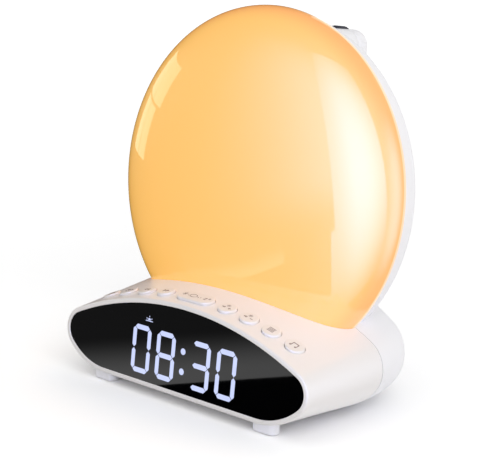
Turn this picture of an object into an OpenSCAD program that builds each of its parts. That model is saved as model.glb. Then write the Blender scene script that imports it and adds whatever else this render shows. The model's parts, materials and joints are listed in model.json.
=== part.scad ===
// Sunrise alarm clock: a round glowing disc on an arched base with a display, top buttons and a rear
// projector.
// X runs to the right, -Y is the display side, +Z is up. The origin is under the middle of the object,
// on the table.

/* [Light disc] */
// Radius of the diffuser at its rim
disc_r = 100; // [92:1:108]
// Height of the disc's lowest point above the table, seen along its plane
disc_low = 11.9; // [6:0.1:20]
// Lean of the disc backwards, in degrees
disc_lean = 7; // [5:0.5:9]
// How far the dome stands out in front of its rim
dome_h = 31.5; // [26:0.5:36]
// Roundness of the dome's section, where 2 is an ellipse
dome_power = 2.2; // [2:0.1:2.8]
// Thickness of the diffuser
diffuser_wall = 2; // [1.5:0.1:2.6]
// How deep the diffuser reaches into the base
diffuser_lip = 3; // [2.6:0.1:4]
// Depth of the rear dish behind the rim
dish_depth = 27; // [24:0.5:30]
// Squareness of the dish's section, where 2 is an ellipse
dish_power = 4; // [3:0.1:5]
// How much smaller the dish's rim is than the diffuser's
dish_step = 2.4; // [1.5:0.1:3.5]

/* [Base front] */
// Lean of the display face backwards, in degrees
face_lean = 8; // [6:0.5:10]
// Distance along the table from the foot of the face to below the disc's centre
face_to_disc = 70.4; // [67:0.5:76]
// Top of the face, measured up the face from the table
front_top = 56.6; // [53:0.2:60]
// Radius of the arch over the face
front_top_r = 198.8; // [170:1:230]
// Half distance between the two lower flank centres of the face
front_flank_x = 57.8; // [54:0.2:61]
// Radius of the lower flanks of the face
front_flank_r = 43.2; // [40:0.2:47]
// Radius of the face's round ends
front_end_r = 12.8; // [11:0.2:15]
// Bottom edge of the face, measured up the face from the table
front_bottom = 5.4; // [4.4:0.2:7]
// Bevel round the face
edge = 1.2; // [0.8:0.1:1.8]
// Thickness of the two housings
shell_wall = 2.4; // [2:0.1:3]

/* [Base seam] */
// Top of the base where the two housings meet
seam_top = 62.6; // [60:0.2:66]
// Radius of the arch at the seam
seam_top_r = 188; // [170:1:225]
// Half distance between the two lower flank centres at the seam
seam_flank_x = 66; // [63:0.2:69]
// Radius of the lower flanks at the seam
seam_flank_r = 33.4; // [30:0.2:37]
// Radius of the round ends at the seam
seam_end_r = 17; // [15:0.2:19]
// Bottom of the base at the seam
seam_bottom = 2.4; // [1.8:0.1:3.4]
// Open line between the two housings
seam_gap = 0.3; // [0.2:0.05:0.5]

/* [Base tail] */
// How far the rear cover reaches behind the seam
tail_depth = 58; // [54:0.5:64]
// Squareness of the tail seen from above
tail_power = 2.5; // [2.2:0.1:3.2]
// Squareness of the tail seen from the side
tail_rise_power = 5; // [4:0.2:7]
// Height that the tail's top and bottom close towards
tail_mid = 12; // [9:0.5:16]

/* [Screen] */
// White rim round the screen
bezel = 2.7; // [2:0.1:4]
// Thickness of the screen lens
lens_t = 2; // [1.5:0.1:2.5]
// How far the lens is sunk behind the rim
lens_sink = 0.4; // [0.2:0.1:0.8]
// Thickness of the wall that the lens is glued on
screen_wall = 2; // [1.6:0.1:2.6]
// Height of the digits
digit_h = 27.1; // [22:0.1:28]
// Width of the digits
digit_w = 14.3; // [11:0.1:15]
// Width of a segment's stroke
stroke = 2.8; // [2.2:0.1:3.2]
// Gap between two segments
segment_gap = 0.45; // [0.3:0.05:0.7]
// Middle of the digits, measured up the face from the table
digit_mid = 25.6; // [25:0.1:27]
// Middle of the whole time display from the centre line
display_x = 2.9; // [0:0.1:5]
// Distance between the two digits of a pair
digit_pitch = 18.9; // [17.5:0.1:19.5]
// Distance between the digits on each side of the colon
colon_pitch = 26.3; // [25:0.1:28]
// Diameter of the colon's dots
dot_d = 3.6; // [2.8:0.1:4.2]
// Distance between the colon's dots
dot_pitch = 11.2; // [9:0.1:13]
// Depth of the reflector behind the lens
reflector_t = 6; // [5:0.1:7]
// Margin of the reflector round the digits
reflector_rim = 3; // [2.4:0.1:3.6]

/* [Buttons] */
// Diameter of the round caps and width of the middle one
cap_d = 10.4; // [9.5:0.1:11]
// Length of the middle cap
bar_l = 25; // [22:0.5:27]
// Distance of the cap row behind the face's top edge
row_back = 10.4; // [10.2:0.1:12.2]
// Distance from the middle cap to the first round cap
first_step = 23.1; // [21.7:0.1:23.7]
// Distance between neighbouring round caps
cap_step = 15.4; // [14.7:0.1:15.6]
// Height of the caps above the housing
cap_rise = 1.6; // [1.2:0.1:2.2]
// Gap round a cap
cap_gap = 0.3; // [0.2:0.05:0.4]
// How far a cap can be pressed
cap_travel = 0.8; // [0.5:0.1:1]
// Depth of the switch board under the top of the arch
switch_board_drop = 23.9; // [23.4:0.1:25.9]

/* [Projector] */
// Half width of the projector pod
pod_half = 32; // [29:0.5:34]
// How far the pod's top lies below the disc's rim
pod_drop = 10; // [8:0.1:11.4]
// Height of the pod
pod_h = 36; // [33:0.5:40]
// Distance of the pod's rear face behind the disc's rim
pod_depth = 47; // [45:0.5:50]
// Corner radius of the pod
pod_corner = 9; // [7:0.5:11]
// Rounding of the pod's rear edge
pod_round = 3.5; // [2.5:0.1:4.5]
// Radius of the focus wheel
wheel_r = 9.6; // [9.2:0.1:10]
// How far the focus wheel stands out of the pod's top
wheel_rise = 1.5; // [1:0.1:2]
// Radius of the swivel drum
drum_r = 7.8; // [7.2:0.1:8]
// Half width of the slot that holds the drum and the focus wheel
slot_half = 20.7; // [19:0.1:22]
// Width of the focus wheel
wheel_w = 6.5; // [5:0.5:7.5]
// Radius of the drum's spindle
spindle_r = 3; // [2.4:0.1:3.4]
// Radius of the projector's lens
glass_r = 5.4; // [4.6:0.1:5.6]

/* [Feet and fasteners] */
// Distance of the front feet from the centre line
foot_x = 61; // [56:0.5:63]
// Length of a foot
foot_l = 16; // [14:0.5:18]
// Width of a foot
foot_w = 8; // [6:0.5:9]
// Distance of the rear feet behind the seam
rear_foot_back = 38; // [32:0.5:40]
// Radius of a screw's shank
screw_r = 1.1; // [0.9:0.05:1.3]
// Radius of a screw's head
head_r = 2.2; // [1.9:0.1:2.4]
// Height of a screw's head
head_h = 1.4; // [1:0.1:1.6]

/* [Ports and battery] */
// Radius of the power inlet
inlet_r = 3.1; // [2.8:0.1:3.4]
// Width of the charging port's mouth
usb_w = 12.4; // [12:0.1:13]
// Height of the charging port's mouth
usb_h = 5; // [4.8:0.1:5.4]
// Radius of the backup cell
cell_r = 10; // [8:0.5:10.5]
// Thickness of the backup cell
cell_h = 3.2; // [2.5:0.1:3.4]

/* [Sound] */
// Radius of the speaker
speaker_r = 17.5; // [15:0.5:18]
// Height of the speaker
speaker_h = 14; // [12:0.5:16]

/* [Hidden] */

$fn = 64;
skin = 0.01;         // thickness of a slice that a hull spans
past = 1;            // how far a cut runs past the surface that it opens
fit_gap = 0.3;       // gap between pieces that are dropped into each other
run_gap = 0.06;      // gap of a spindle in its bearing
board_t = 1.6;       // thickness of the circuit boards

// Places along Y, worked out so that the whole object is centred on the origin
disc_z = disc_r + disc_low;
pod_top = disc_r - pod_drop;
pod_bottom = pod_top - pod_h;
wheel_room = 0.5;
axis_up = pod_top + wheel_rise - wheel_r;
axis_depth = pod_depth - wheel_r - wheel_room;
face_nose = (front_bottom + edge) * sin(face_lean);
rear_reach = (pod_top - pod_round) * sin(disc_lean) + (pod_depth - pod_round) * cos(disc_lean) + pod_round;
depth = face_to_disc + rear_reach - face_nose;
face_y = -depth / 2 - face_nose;
disc_y = face_y + face_to_disc;
seam_y = disc_y - disc_z * tan(disc_lean);

dish_r = disc_r - dish_step;

// The arch under the caps: its place, height, radius and slope, between the bevel of the face and the seam
front_edge_y = face_y + front_top * sin(face_lean);
crest_y = front_edge_y + edge * cos(face_lean);
crest_z = front_top * cos(face_lean) - edge * sin(face_lean);
seam_edge_y = seam_y + seam_top * sin(disc_lean);
seam_edge_z = seam_top * cos(disc_lean);
row_y = front_edge_y + row_back;
row_part = (row_y - crest_y) / (seam_edge_y - crest_y);
row_z = crest_z + row_part * (seam_edge_z - crest_z);
row_r = front_top_r + row_part * (seam_top_r - front_top_r);
row_slope = atan((seam_edge_z - crest_z) / (seam_edge_y - crest_y));
cap_x = [for (i = [0:3]) first_step + i * cap_step];
cap_flange = 0.7;    // how far a cap's flange stands out under the housing
flange_t = 1.2;
flange_room = 0.9;   // how far a cap's flange lies under the housing
switch_w = 6;
switch_h = 3.5;
plunger_h = 4.3;     // height of a switch with its plunger
switch_front = 4.4;  // reach of the switch board in front of the caps' middle
switch_rear = 8;

// Half width of the seam outline: its round end touches the arch and the lower flank
seam_half = half_width(seam_top, seam_top_r, seam_flank_x, seam_flank_r, seam_end_r, seam_bottom);

// Places in the frame of the face, whose z points out of the screen
lens_back = lens_sink + lens_t;
wall_back = lens_back + screen_wall;
display_back = lens_back + reflector_t;
digit_x = [for (s = [-1, 1]) for (k = [0, 1])
    display_x + s * (colon_pitch / 2 + (s < 0 ? 1 - k : k) * digit_pitch)];
reflector_w = colon_pitch + 2 * digit_pitch + digit_w + 2 * reflector_rim;
reflector_h = digit_h + 2 * reflector_rim;
display_w = reflector_w + 18;
display_h = reflector_h + 1;
display_post_x = display_w / 2 - 3.5;
display_post_y = display_h / 2 - 3.5;
post_r = 2.4;

// Segments of each shown digit: top, upper right, lower right, bottom, lower left, upper left, middle
zero = [1, 1, 1, 1, 1, 1, 0];
eight = [1, 1, 1, 1, 1, 1, 1];
three = [1, 1, 1, 1, 0, 0, 1];
shown = [zero, eight, three, zero];

// Light disc, seen in its own frame, whose z points forward out of the dome
plate_front = 0.8;
plate_t = 1.6;
plate_back = plate_front + plate_t;
plate_low = (seam_edge_z - disc_z) / cos(disc_lean) + 3;
light_board_r = 44;
light_board_t = 1.2;
light_post_r = 4;
light_post_ring = 66;
light_post_angles = [35, 145];
led_rings = [[16, 6], [36, 12]];

// Main board, level on posts that stand on the rear cover's floor
floor_z = seam_bottom * cos(disc_lean);
main_z = floor_z + 14;
main_w = 76;
main_l = 34;
main_rear = 3;
tail_y = seam_y + floor_z * tan(disc_lean) + tail_depth;
main_y = tail_y - shell_wall - main_rear - main_l;
main_post_x = main_w / 2 - 4;
inlet_x = 20;
usb_x = -8;
port_z = main_z + board_t + 4.2;
port_y = seam_y + port_z * tan(disc_lean) + tail_depth;
inlet_body = 10;
pin_r = 1;
tongue_t = 1.9;
usb_wall = 0.6;
port_l = 12;
port_clear = 1.8;    // room between the inlet's body and the round rear wall

// Backup cell under its round door, in the floor of the rear cover
battery_x = -2;
battery_y = seam_y + 22;
door_r = cell_r + 2.2;
door_t = 2;
lug_r = door_r + 1.8;
lug_h = 0.9;
ledge = 0.5;
lug_z = floor_z + shell_wall + ledge + fit_gap;
lug_turn = 30;
door_turn = 60;
cup_step = lug_z + lug_h + fit_gap;
cell_z = cup_step + 0.1;
contact_t = 0.3;
cup_top = cell_z + cell_h + contact_t;
cup_wall = 1.5;

// Speaker on the sloping floor of the front housing, facing down
speaker_y = (front_edge_y + seam_y) / 2 + 2;
floor_drop = front_bottom * cos(face_lean) - floor_z;
floor_run = seam_y + seam_bottom * sin(disc_lean) - face_y - front_bottom * sin(face_lean);
floor_slope = atan(floor_drop / floor_run);
speaker_floor = floor_z + floor_drop * (seam_y - speaker_y) / floor_run;
cone_t = 0.6;
frame_lip = 1.6;
magnet_r = speaker_r * 0.6;

// Feet, let into the floor
foot_sink = 1.5;
foot_margin = 0.1;
front_foot_y = face_y + 3 + foot_w / 2;
front_foot_top = floor_z + floor_drop * (seam_y - front_foot_y) / floor_run + foot_sink;
rear_foot_x = 34;
rear_foot_y = seam_y + rear_foot_back;
rear_foot_top = floor_z + foot_sink;

function superellipse(r, h, power, steps = 18) =
    [for (i = [0:steps]) let (a = 90 * i / steps)
        [r * pow(cos(a), 2 / power), h * pow(sin(a), 2 / power)]];

// The end's centre lies where two circles cross: the arch's and the flank's, both drawn smaller by the
// end's radius
function half_width(top, top_r, flank_x, flank_r, end_r, bottom) =
    let (a = top_r - end_r, b = flank_r - end_r,
         dy = bottom + flank_r - (top - top_r), d = norm([flank_x, dy]),
         k = (a * a - b * b + d * d) / (2 * d), side = sqrt(a * a - k * k))
    (k * flank_x + side * dy) / d + end_r;

// Frames of the face, of the seam, of the disc and of the cap row
module at_face() { translate([0, face_y, 0]) rotate([90 - face_lean, 0, 0]) children(); }
module at_seam() { translate([0, seam_y, 0]) rotate([90 - disc_lean, 0, 0]) children(); }
module at_disc() { translate([0, disc_y, disc_z]) rotate([90 - disc_lean, 0, 0]) children(); }
module at_row() { translate([0, row_y, row_z]) rotate([row_slope, 0, 0]) children(); }
module at_speaker() { translate([0, speaker_y, speaker_floor]) rotate([-floor_slope, 0, 0]) children(); }

// The arched outline of the base, drawn smaller by inset
module arch_outline(top, top_r, flank_x, flank_r, end_r, bottom, inset) {
    offset(r = end_r - inset, $fn = 32)
        intersection() {
            translate([0, top - top_r]) circle(top_r - end_r, $fn = 120);
            union() {
                for (s = [-1, 1])
                    translate([s * flank_x, bottom + flank_r]) circle(flank_r - end_r, $fn = 48);
                translate([-flank_x, bottom + end_r]) square([2 * flank_x, 2 * (flank_r - end_r)]);
            }
        }
}

module front_outline(inset = 0) {
    arch_outline(front_top, front_top_r, front_flank_x, front_flank_r, front_end_r, front_bottom, inset);
}

module seam_outline(inset = 0) {
    arch_outline(seam_top, seam_top_r, seam_flank_x, seam_flank_r, seam_end_r, seam_bottom, inset);
}

module front_block() {
    hull() {
        at_face() translate([0, 0, -skin]) linear_extrude(skin) front_outline(edge);
        at_face() translate([0, 0, -edge]) linear_extrude(skin) front_outline();
        at_seam() linear_extrude(skin) seam_outline();
    }
}

// The space in the front block that is left when a wall is taken from its sides
module front_space(wall, front_wall) {
    hull() {
        at_face() translate([0, 0, -front_wall]) linear_extrude(skin) front_outline(wall);
        at_seam() translate([0, 0, -past]) linear_extrude(skin) seam_outline(wall);
    }
}

module tail_slice(part, wall) {
    length = tail_depth - wall;
    wide = pow(1 - pow(max(part, 0), tail_power), 1 / tail_power);
    high = pow(1 - pow(max(part, 0), tail_rise_power), 1 / tail_rise_power);
    translate([0, part * length, 0])
        at_seam() translate([0, tail_mid * (1 - high), -seam_gap]) linear_extrude(skin)
            scale([wide, high]) seam_outline(wall);
}

module tail_block(wall) {
    parts = wall > 0 ? [-0.03, 0, 0.5, 0.75, 0.9, 0.98] : [0, 0.3, 0.52, 0.7, 0.84, 0.93, 0.98, 0.998];
    hull() for (part = parts) tail_slice(part, wall);
}

// Half section of revolution between two superellipses, in the frame of the disc
module revolved(points) { rotate_extrude($fn = 96) polygon(points); }

module dome_solid(grow = 0) {
    revolved(concat([[0, 0]], superellipse(disc_r + grow, dome_h + grow, dome_power)));
}

module dish_solid(wall = 0) {
    mirror([0, 0, 1]) translate([0, 0, wall > 0 ? -past : seam_gap])
        revolved(concat([[0, 0]], superellipse(dish_r - wall, dish_depth - wall - seam_gap
            + (wall > 0 ? past + seam_gap : 0), dish_power)));
}

module round_bar(length, width, height) {
    for (s = [-1, 1]) translate([s * (length - width) / 2, 0, 0]) cylinder(d = width, h = height);
    if (length > width)
        translate([-(length - width) / 2, -width / 2, 0]) cube([length - width, width, height]);
}

module screw(length) {
    difference() {
        translate([0, 0, -head_h]) cylinder(r = head_r, h = head_h);
        for (a = [0, 90]) rotate(a)
            translate([-head_r * 0.6, -0.3, -head_h - past]) cube([head_r * 1.2, 0.6, past + head_h / 2]);
    }
    cylinder(r = screw_r, h = length);
}

// Base, front
module front_housing() color("white") {
    difference() {
        union() {
            difference() {
                front_block();
                front_space(shell_wall, wall_back);
            }
            display_posts();
            switch_posts();
            speaker_posts();
            case_posts();
        }
        at_face() translate([0, 0, -lens_back]) linear_extrude(lens_back + past) front_outline(bezel);
        at_face()
            translate([display_x - reflector_w / 2 - fit_gap, digit_mid - reflector_h / 2 - fit_gap,
                       -wall_back - past])
            cube([reflector_w + 2 * fit_gap, reflector_h + 2 * fit_gap, wall_back + past]);
        at_face() for (p = display_screw_places())
            translate([p[0], p[1], -display_back - past])
                cylinder(r = screw_r, h = display_back + past - lens_back - 1);
        at_disc() dome_solid(fit_gap);
        for (x = cap_x) for (s = [-1, 1]) cap_hole(s * x, cap_d);
        cap_hole(0, bar_l);
        at_row() for (p = switch_screw_places())
            translate([p[0], p[1], -switch_board_drop - past]) cylinder(r = screw_r, h = past + 6);
        at_speaker() for (p = speaker_screw_places())
            translate([p[0], p[1], 2.2]) cylinder(r = screw_r, h = speaker_h);
        speaker_grille();
        at_seam() for (p = case_screw_places())
            translate([p[0], p[1], -past]) cylinder(r = screw_r, h = past + 8);
        foot_sockets(foot_x, front_foot_y, front_foot_top);
    }
}

function display_screw_places() =
    [for (s = [-1, 1]) for (t = [-1, 1]) [display_x + s * display_post_x, digit_mid + t * display_post_y]];

module display_posts() {
    at_face() for (p = display_screw_places())
        translate([p[0], p[1], -display_back]) cylinder(r = post_r, h = reflector_t);
}

function switch_screw_places() =
    [for (s = [-1, 1]) for (k = [0, 2]) [s * (cap_x[k] + cap_step / 2), 5.5]];

module switch_posts() {
    intersection() {
        front_block();
        at_row() for (p = switch_screw_places())
            translate([p[0], p[1], -switch_board_drop])
                cylinder(r = post_r - 0.2, h = switch_board_drop + past);
    }
}

function speaker_screw_places() =
    [for (a = [45:90:315]) [(speaker_r + 2.6) * cos(a), (speaker_r + 2.6) * sin(a)]];

module speaker_posts() {
    intersection() {
        front_block();
        at_speaker() for (p = speaker_screw_places())
            translate([p[0], p[1], 0]) cylinder(r = post_r, h = shell_wall + 2);
    }
}

module speaker_grille() {
    for (i = [-4:4]) for (j = [-4:4])
        if (norm([i, j]) < 4.4)
            translate([i * 3.4, speaker_y + j * 3.4, -past])
                cylinder(r = 0.9, h = speaker_floor + shell_wall + past);
}

function case_screw_places() = [for (s = [-1, 1]) [s * (seam_half - 21), seam_bottom + 26]];

module case_posts() {
    at_seam() for (p = case_screw_places()) translate([p[0], p[1], 0]) cylinder(r = 4, h = 12);
    intersection() {
        front_block();
        at_seam() for (p = case_screw_places())
            translate([p[0] - 0.8, seam_bottom, 0]) cube([1.6, p[1] - seam_bottom, 12]);
    }
}

module cap_hole(x, length) {
    below = shell_wall * 2.3;
    at_row() translate([x, 0, cap_drop(x) - below])
        round_bar(length + 2 * cap_gap, cap_d + 2 * cap_gap, below + 4);
}

function cap_drop(x) = sqrt(row_r * row_r - x * x) - row_r;

module foot_sockets(x, y, top) {
    for (s = [-1, 1]) translate([s * x, y, -past])
        round_bar(foot_l + 2 * foot_margin, foot_w + 2 * foot_margin, top + foot_margin + past);
}

module feet(x, y, top) {
    for (s = [-1, 1]) translate([s * x, y, 0]) {
        round_bar(foot_l - 1, foot_w - 1, top);
        translate([0, 0, 0.5]) round_bar(foot_l, foot_w, top - 0.5);
    }
}

// Base, rear, with the dish of the disc
module rear_cover() color("whitesmoke") {
    difference() {
        union() {
            difference() {
                union() {
                    tail_block(0);
                    at_disc() dish_solid();
                }
                tail_block(shell_wall);
                at_disc() dish_solid(shell_wall);
            }
            case_wells();
            light_posts();
            main_posts();
            battery_cup();
        }
        at_seam() for (p = case_screw_places()) {
            translate([p[0], p[1], -6 - tail_depth]) cylinder(r = head_r + 1, h = tail_depth);
            translate([p[0], p[1], -6 - past]) cylinder(r = screw_r + 0.3, h = 6 + 2 * past);
        }
        at_disc() for (p = light_screw_places())
            translate([p[0], p[1], -plate_back - 8]) cylinder(r = screw_r, h = 8 + past);
        for (p = main_screw_places())
            translate([p[0], p[1], main_z - 8]) cylinder(r = screw_r, h = 8 + past);
        battery_opening();
        translate([inlet_x, port_y - shell_wall * 3, port_z]) rotate([-90, 0, 0])
            cylinder(r = inlet_r + 1.2, h = shell_wall * 4);
        translate([usb_x - usb_w / 2 - 1, port_y - shell_wall * 3, port_z - usb_h / 2 - 1])
            cube([usb_w + 2, shell_wall * 4, usb_h + 2]);
        at_disc() for (p = saddle_screw_places())
            translate([p[0], p[1], -dish_depth - past]) cylinder(r = screw_r + 0.3, h = dish_depth);
        at_disc() for (i = [-4:4])
            translate([i * 5 - 0.8, -25, -dish_depth - past]) cube([1.6, 22, shell_wall + 2 * past]);
        foot_sockets(rear_foot_x, rear_foot_y, rear_foot_top);
    }
}

// Half of the tail's outline from above, at the height of its round ends
function tail_plan(inset) =
    [for (i = [0:24]) let (a = 90 * i / 24)
        [(seam_half - inset) * pow(cos(a), 2 / tail_power),
         (tail_depth - inset) * pow(sin(a), 2 / tail_power)]];

module case_wells() {
    intersection() {
        at_seam() for (p = case_screw_places())
            translate([p[0], p[1], -seam_gap - tail_depth]) cylinder(r = head_r + 2.4, h = tail_depth);
        for (s = [0, 1]) mirror([s, 0, 0]) translate([0, seam_y, 0]) linear_extrude(seam_top)
            polygon(concat([[0, 0]], tail_plan(0.6)));
    }
}

function light_screw_places() =
    [for (a = light_post_angles) [light_post_ring * cos(a), light_post_ring * sin(a)],
     for (s = [-1, 1]) [s * light_post_ring, plate_low + 8]];

module light_posts() {
    at_disc() intersection() {
        dish_solid();
        for (p = light_screw_places())
            translate([p[0], p[1], -dish_depth]) cylinder(r = light_post_r, h = dish_depth - plate_back);
    }
}

function main_screw_places() =
    [for (s = [-1, 1]) for (y = [main_y + 4, main_y + main_l - 4]) [s * main_post_x, y]];

module main_posts() {
    for (p = main_screw_places())
        translate([p[0], p[1], floor_z + shell_wall / 2])
            cylinder(r = post_r + 0.4, h = main_z - floor_z - shell_wall / 2);
}

module battery_cup() {
    translate([battery_x, battery_y, 0]) difference() {
        translate([0, 0, floor_z + shell_wall / 4])
            cylinder(r = lug_r + 2 * fit_gap + cup_wall, h = cup_top + cup_wall - floor_z - shell_wall / 4);
        translate([0, 0, lug_z - fit_gap])
            cylinder(r = lug_r + 2 * fit_gap, h = cup_step - lug_z + fit_gap);
        translate([0, 0, -past]) cylinder(r = cell_r + fit_gap, h = cup_top + past);
    }
}

module lugs(r, turn, z, h) {
    translate([0, 0, z]) for (a = [0, 180])
        rotate(a + turn) intersection() {
            cylinder(r = r, h = h);
            translate([0, -lug_turn / 90 * r / 2, 0]) cube([r, lug_turn / 90 * r, h]);
        }
}

module battery_opening() {
    translate([battery_x, battery_y, 0]) {
        translate([0, 0, -past]) cylinder(r = door_r + fit_gap, h = lug_z + past);
        lugs(lug_r + fit_gap, door_turn, -past, lug_z + past);
    }
}

// Light disc
module diffuser() color("navajowhite") {
    difference() {
        at_disc() difference() {
            dome_solid();
            translate([0, 0, -skin]) revolved(concat([[0, 0]],
                superellipse(disc_r - diffuser_wall, dome_h - diffuser_wall, dome_power)));
        }
        front_space(diffuser_lip, edge);
    }
}

module light_reflector() color("white") {
    at_disc() difference() {
        intersection() {
            translate([0, 0, -plate_back]) cylinder(r = dish_r - shell_wall - fit_gap, h = plate_t);
            translate([-disc_r, plate_low, -plate_back]) cube([2 * disc_r, 2 * disc_r, plate_t]);
        }
        for (p = light_screw_places())
            translate([p[0], p[1], -plate_back - past]) cylinder(r = screw_r, h = plate_t + 2 * past);
    }
}

module light_board() color("seagreen") {
    at_disc() translate([0, 4, -plate_front]) cylinder(r = light_board_r, h = light_board_t);
}

module light_leds() color("khaki") {
    at_disc() translate([0, 4, light_board_t - plate_front])
        for (ring = led_rings) for (i = [0:ring[1] - 1])
            rotate(i * 360 / ring[1]) translate([ring[0] - 1.75, -1.4, 0]) cube([3.5, 2.8, 0.9]);
}

module light_screws() color("silver") {
    at_disc() for (p = light_screw_places())
        translate([p[0], p[1], -plate_front]) mirror([0, 0, 1]) screw(7);
}

// Display
module segment(length) {
    h = stroke / 2;
    polygon([[-length / 2, 0], [-length / 2 + h, h], [length / 2 - h, h], [length / 2, 0],
             [length / 2 - h, -h], [-length / 2 + h, -h]]);
}

module segment_at(i) {
    side = (digit_w - stroke) / 2;
    rise = (digit_h - stroke) / 2;
    bar = digit_w - stroke - segment_gap;
    post = rise - segment_gap;
    if (i == 0) translate([0, rise]) segment(bar);
    if (i == 1) translate([side, rise / 2]) rotate(90) segment(post);
    if (i == 2) translate([side, -rise / 2]) rotate(90) segment(post);
    if (i == 3) translate([0, -rise]) segment(bar);
    if (i == 4) translate([-side, -rise / 2]) rotate(90) segment(post);
    if (i == 5) translate([-side, rise / 2]) rotate(90) segment(post);
    if (i == 6) segment(bar);
}

module digits(lit) {
    for (k = [0:3]) for (i = [0:6])
        if (shown[k][i] == lit) translate([digit_x[k], digit_mid]) segment_at(i);
}

module dots() {
    for (s = [-1, 1]) translate([display_x, digit_mid + s * dot_pitch / 2]) circle(d = dot_d);
}

module screen_lens() color("black") {
    at_face() translate([0, 0, -lens_back]) linear_extrude(lens_t) difference() {
        front_outline(bezel + 0.1);
        digits(1);
        dots();
    }
}

module lit_segments() color("lavender") {
    at_face() translate([0, 0, -display_back + 1.6]) linear_extrude(display_back - 1.6 - lens_sink) {
        digits(1);
        dots();
    }
}

module idle_segments() color("gray") {
    at_face() translate([0, 0, -display_back + 1.6]) linear_extrude(reflector_t - 1.6) digits(0);
}

module display_reflector() color("dimgray") {
    at_face() translate([0, 0, -display_back]) linear_extrude(reflector_t) difference() {
        translate([display_x - reflector_w / 2, digit_mid - reflector_h / 2])
            square([reflector_w, reflector_h]);
        digits(1);
        digits(0);
        dots();
    }
}

module display_board() color("darkgreen") {
    at_face() translate([0, 0, -display_back - board_t]) linear_extrude(board_t) difference() {
        translate([display_x - display_w / 2, digit_mid - display_h / 2]) square([display_w, display_h]);
        for (p = display_screw_places()) translate(p) circle(r = screw_r);
    }
}

module display_leds() color("khaki") {
    rise = (digit_h - stroke) / 2;
    side = (digit_w - stroke) / 2;
    spots = [[0, rise], [side, rise / 2], [side, -rise / 2], [0, -rise],
             [-side, -rise / 2], [-side, rise / 2], [0, 0]];
    at_face() translate([0, 0, -display_back]) {
        for (x = digit_x) for (p = spots)
            translate([x + p[0] - 0.6, digit_mid + p[1] - 0.6, 0]) cube([1.2, 1.2, 0.8]);
        for (s = [-1, 1])
            translate([display_x - 0.6, digit_mid + s * dot_pitch / 2 - 0.6, 0]) cube([1.2, 1.2, 0.8]);
    }
}

module display_screws() color("silver") {
    at_face() for (p = display_screw_places())
        translate([p[0], p[1], -display_back - board_t]) screw(board_t + 4.5);
}

// Buttons, on one board under the arch
module under_arch(rise) {
    translate([0, 0, -row_r]) rotate([90, 0, 0])
        cylinder(r = row_r + rise, h = 4 * cap_d, center = true, $fn = 180);
}

module button(x, length) {
    seat = -shell_wall - (wall_back - edge) * tan(row_slope) - flange_room;
    stem_end = -switch_board_drop + plunger_h + cap_travel + fit_gap;
    at_row() {
        difference() {
            intersection() {
                translate([x, 0, cap_drop(x) - 10]) round_bar(length, cap_d, 14);
                under_arch(cap_rise);
            }
            under_arch(seat - flange_t / 2);
        }
        difference() {
            intersection() {
                translate([x, 0, cap_drop(x) - 10])
                    round_bar(length + 2 * cap_flange, cap_d + 2 * cap_flange, 14);
                under_arch(seat);
            }
            under_arch(seat - flange_t);
        }
        translate([x, 0, stem_end]) cylinder(r = 2, h = cap_drop(x) + seat - flange_t / 2 - stem_end);
    }
}

module switch_board() color("darkgreen") {
    reach = cap_x[3] + 7;
    at_row() translate([0, 0, -switch_board_drop - board_t]) linear_extrude(board_t) difference() {
        translate([-reach, -switch_front]) square([2 * reach, switch_front + switch_rear]);
        for (p = switch_screw_places()) translate(p) circle(r = screw_r);
    }
}

module tact_switches() color("darkslategray") {
    at_row() for (x = concat([0], cap_x, -cap_x)) translate([x, 0, -switch_board_drop]) {
        translate([-switch_w / 2, -switch_w / 2, 0]) cube([switch_w, switch_w, switch_h]);
        cylinder(r = 1.7, h = plunger_h);
    }
}

module switch_board_screws() color("silver") {
    at_row() for (p = switch_screw_places())
        translate([p[0], p[1], -switch_board_drop - board_t]) screw(board_t + 5);
}

module button_alarm_one() color("white") button(-cap_x[3], cap_d);
module button_alarm_two() color("white") button(-cap_x[2], cap_d);
module button_back() color("white") button(-cap_x[1], cap_d);
module button_next() color("white") button(-cap_x[0], cap_d);
module button_snooze() color("white") button(0, bar_l);
module button_up() color("white") button(cap_x[0], cap_d);
module button_down() color("white") button(cap_x[1], cap_d);
module button_menu() color("white") button(cap_x[2], cap_d);
module button_sound() color("white") button(cap_x[3], cap_d);

// Main board and ports
module main_board() color("darkgreen") {
    difference() {
        translate([-main_w / 2, main_y, main_z]) cube([main_w, main_l, board_t]);
        for (p = main_screw_places())
            translate([p[0], p[1], main_z - past]) cylinder(r = screw_r, h = board_t + 2 * past);
    }
}

module main_chips() color("dimgray") {
    translate([0, main_y, main_z + board_t]) {
        translate([-24, 12, 0]) cube([10, 10, 1.6]);
        translate([-4, 6, 0]) cube([6, 5, 1.4]);
        translate([8, 8, 0]) cube([4.9, 3.9, 1.4]);
        for (i = [0:2]) translate([16 + 4 * i, 10, 0]) cylinder(r = 1.6, h = 5.4 + i);
        translate([-10, 14, 0]) cube([8, 3.2, 2.4]);
    }
}

module main_board_screws() color("silver") {
    for (p = main_screw_places())
        translate([p[0], p[1], main_z + board_t]) mirror([0, 0, 1]) screw(board_t + 5);
}

module power_inlet() color("black") {
    back = port_y - shell_wall;
    difference() {
        union() {
            translate([inlet_x - inlet_body / 2, back - port_l, main_z + board_t])
                cube([inlet_body, port_l - port_clear, 9]);
            translate([inlet_x, back - 2 * port_clear, port_z]) rotate([-90, 0, 0])
                cylinder(r = inlet_r + 0.9, h = 2 * port_clear + shell_wall - 1);
        }
        translate([inlet_x, back - port_l + 2, port_z]) rotate([-90, 0, 0])
            cylinder(r = inlet_r, h = port_l + past);
    }
}

module inlet_pin() color("silver") {
    translate([inlet_x, port_y - shell_wall - port_l + 2, port_z]) rotate([-90, 0, 0])
        cylinder(r = pin_r, h = port_l - 3);
}

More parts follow.
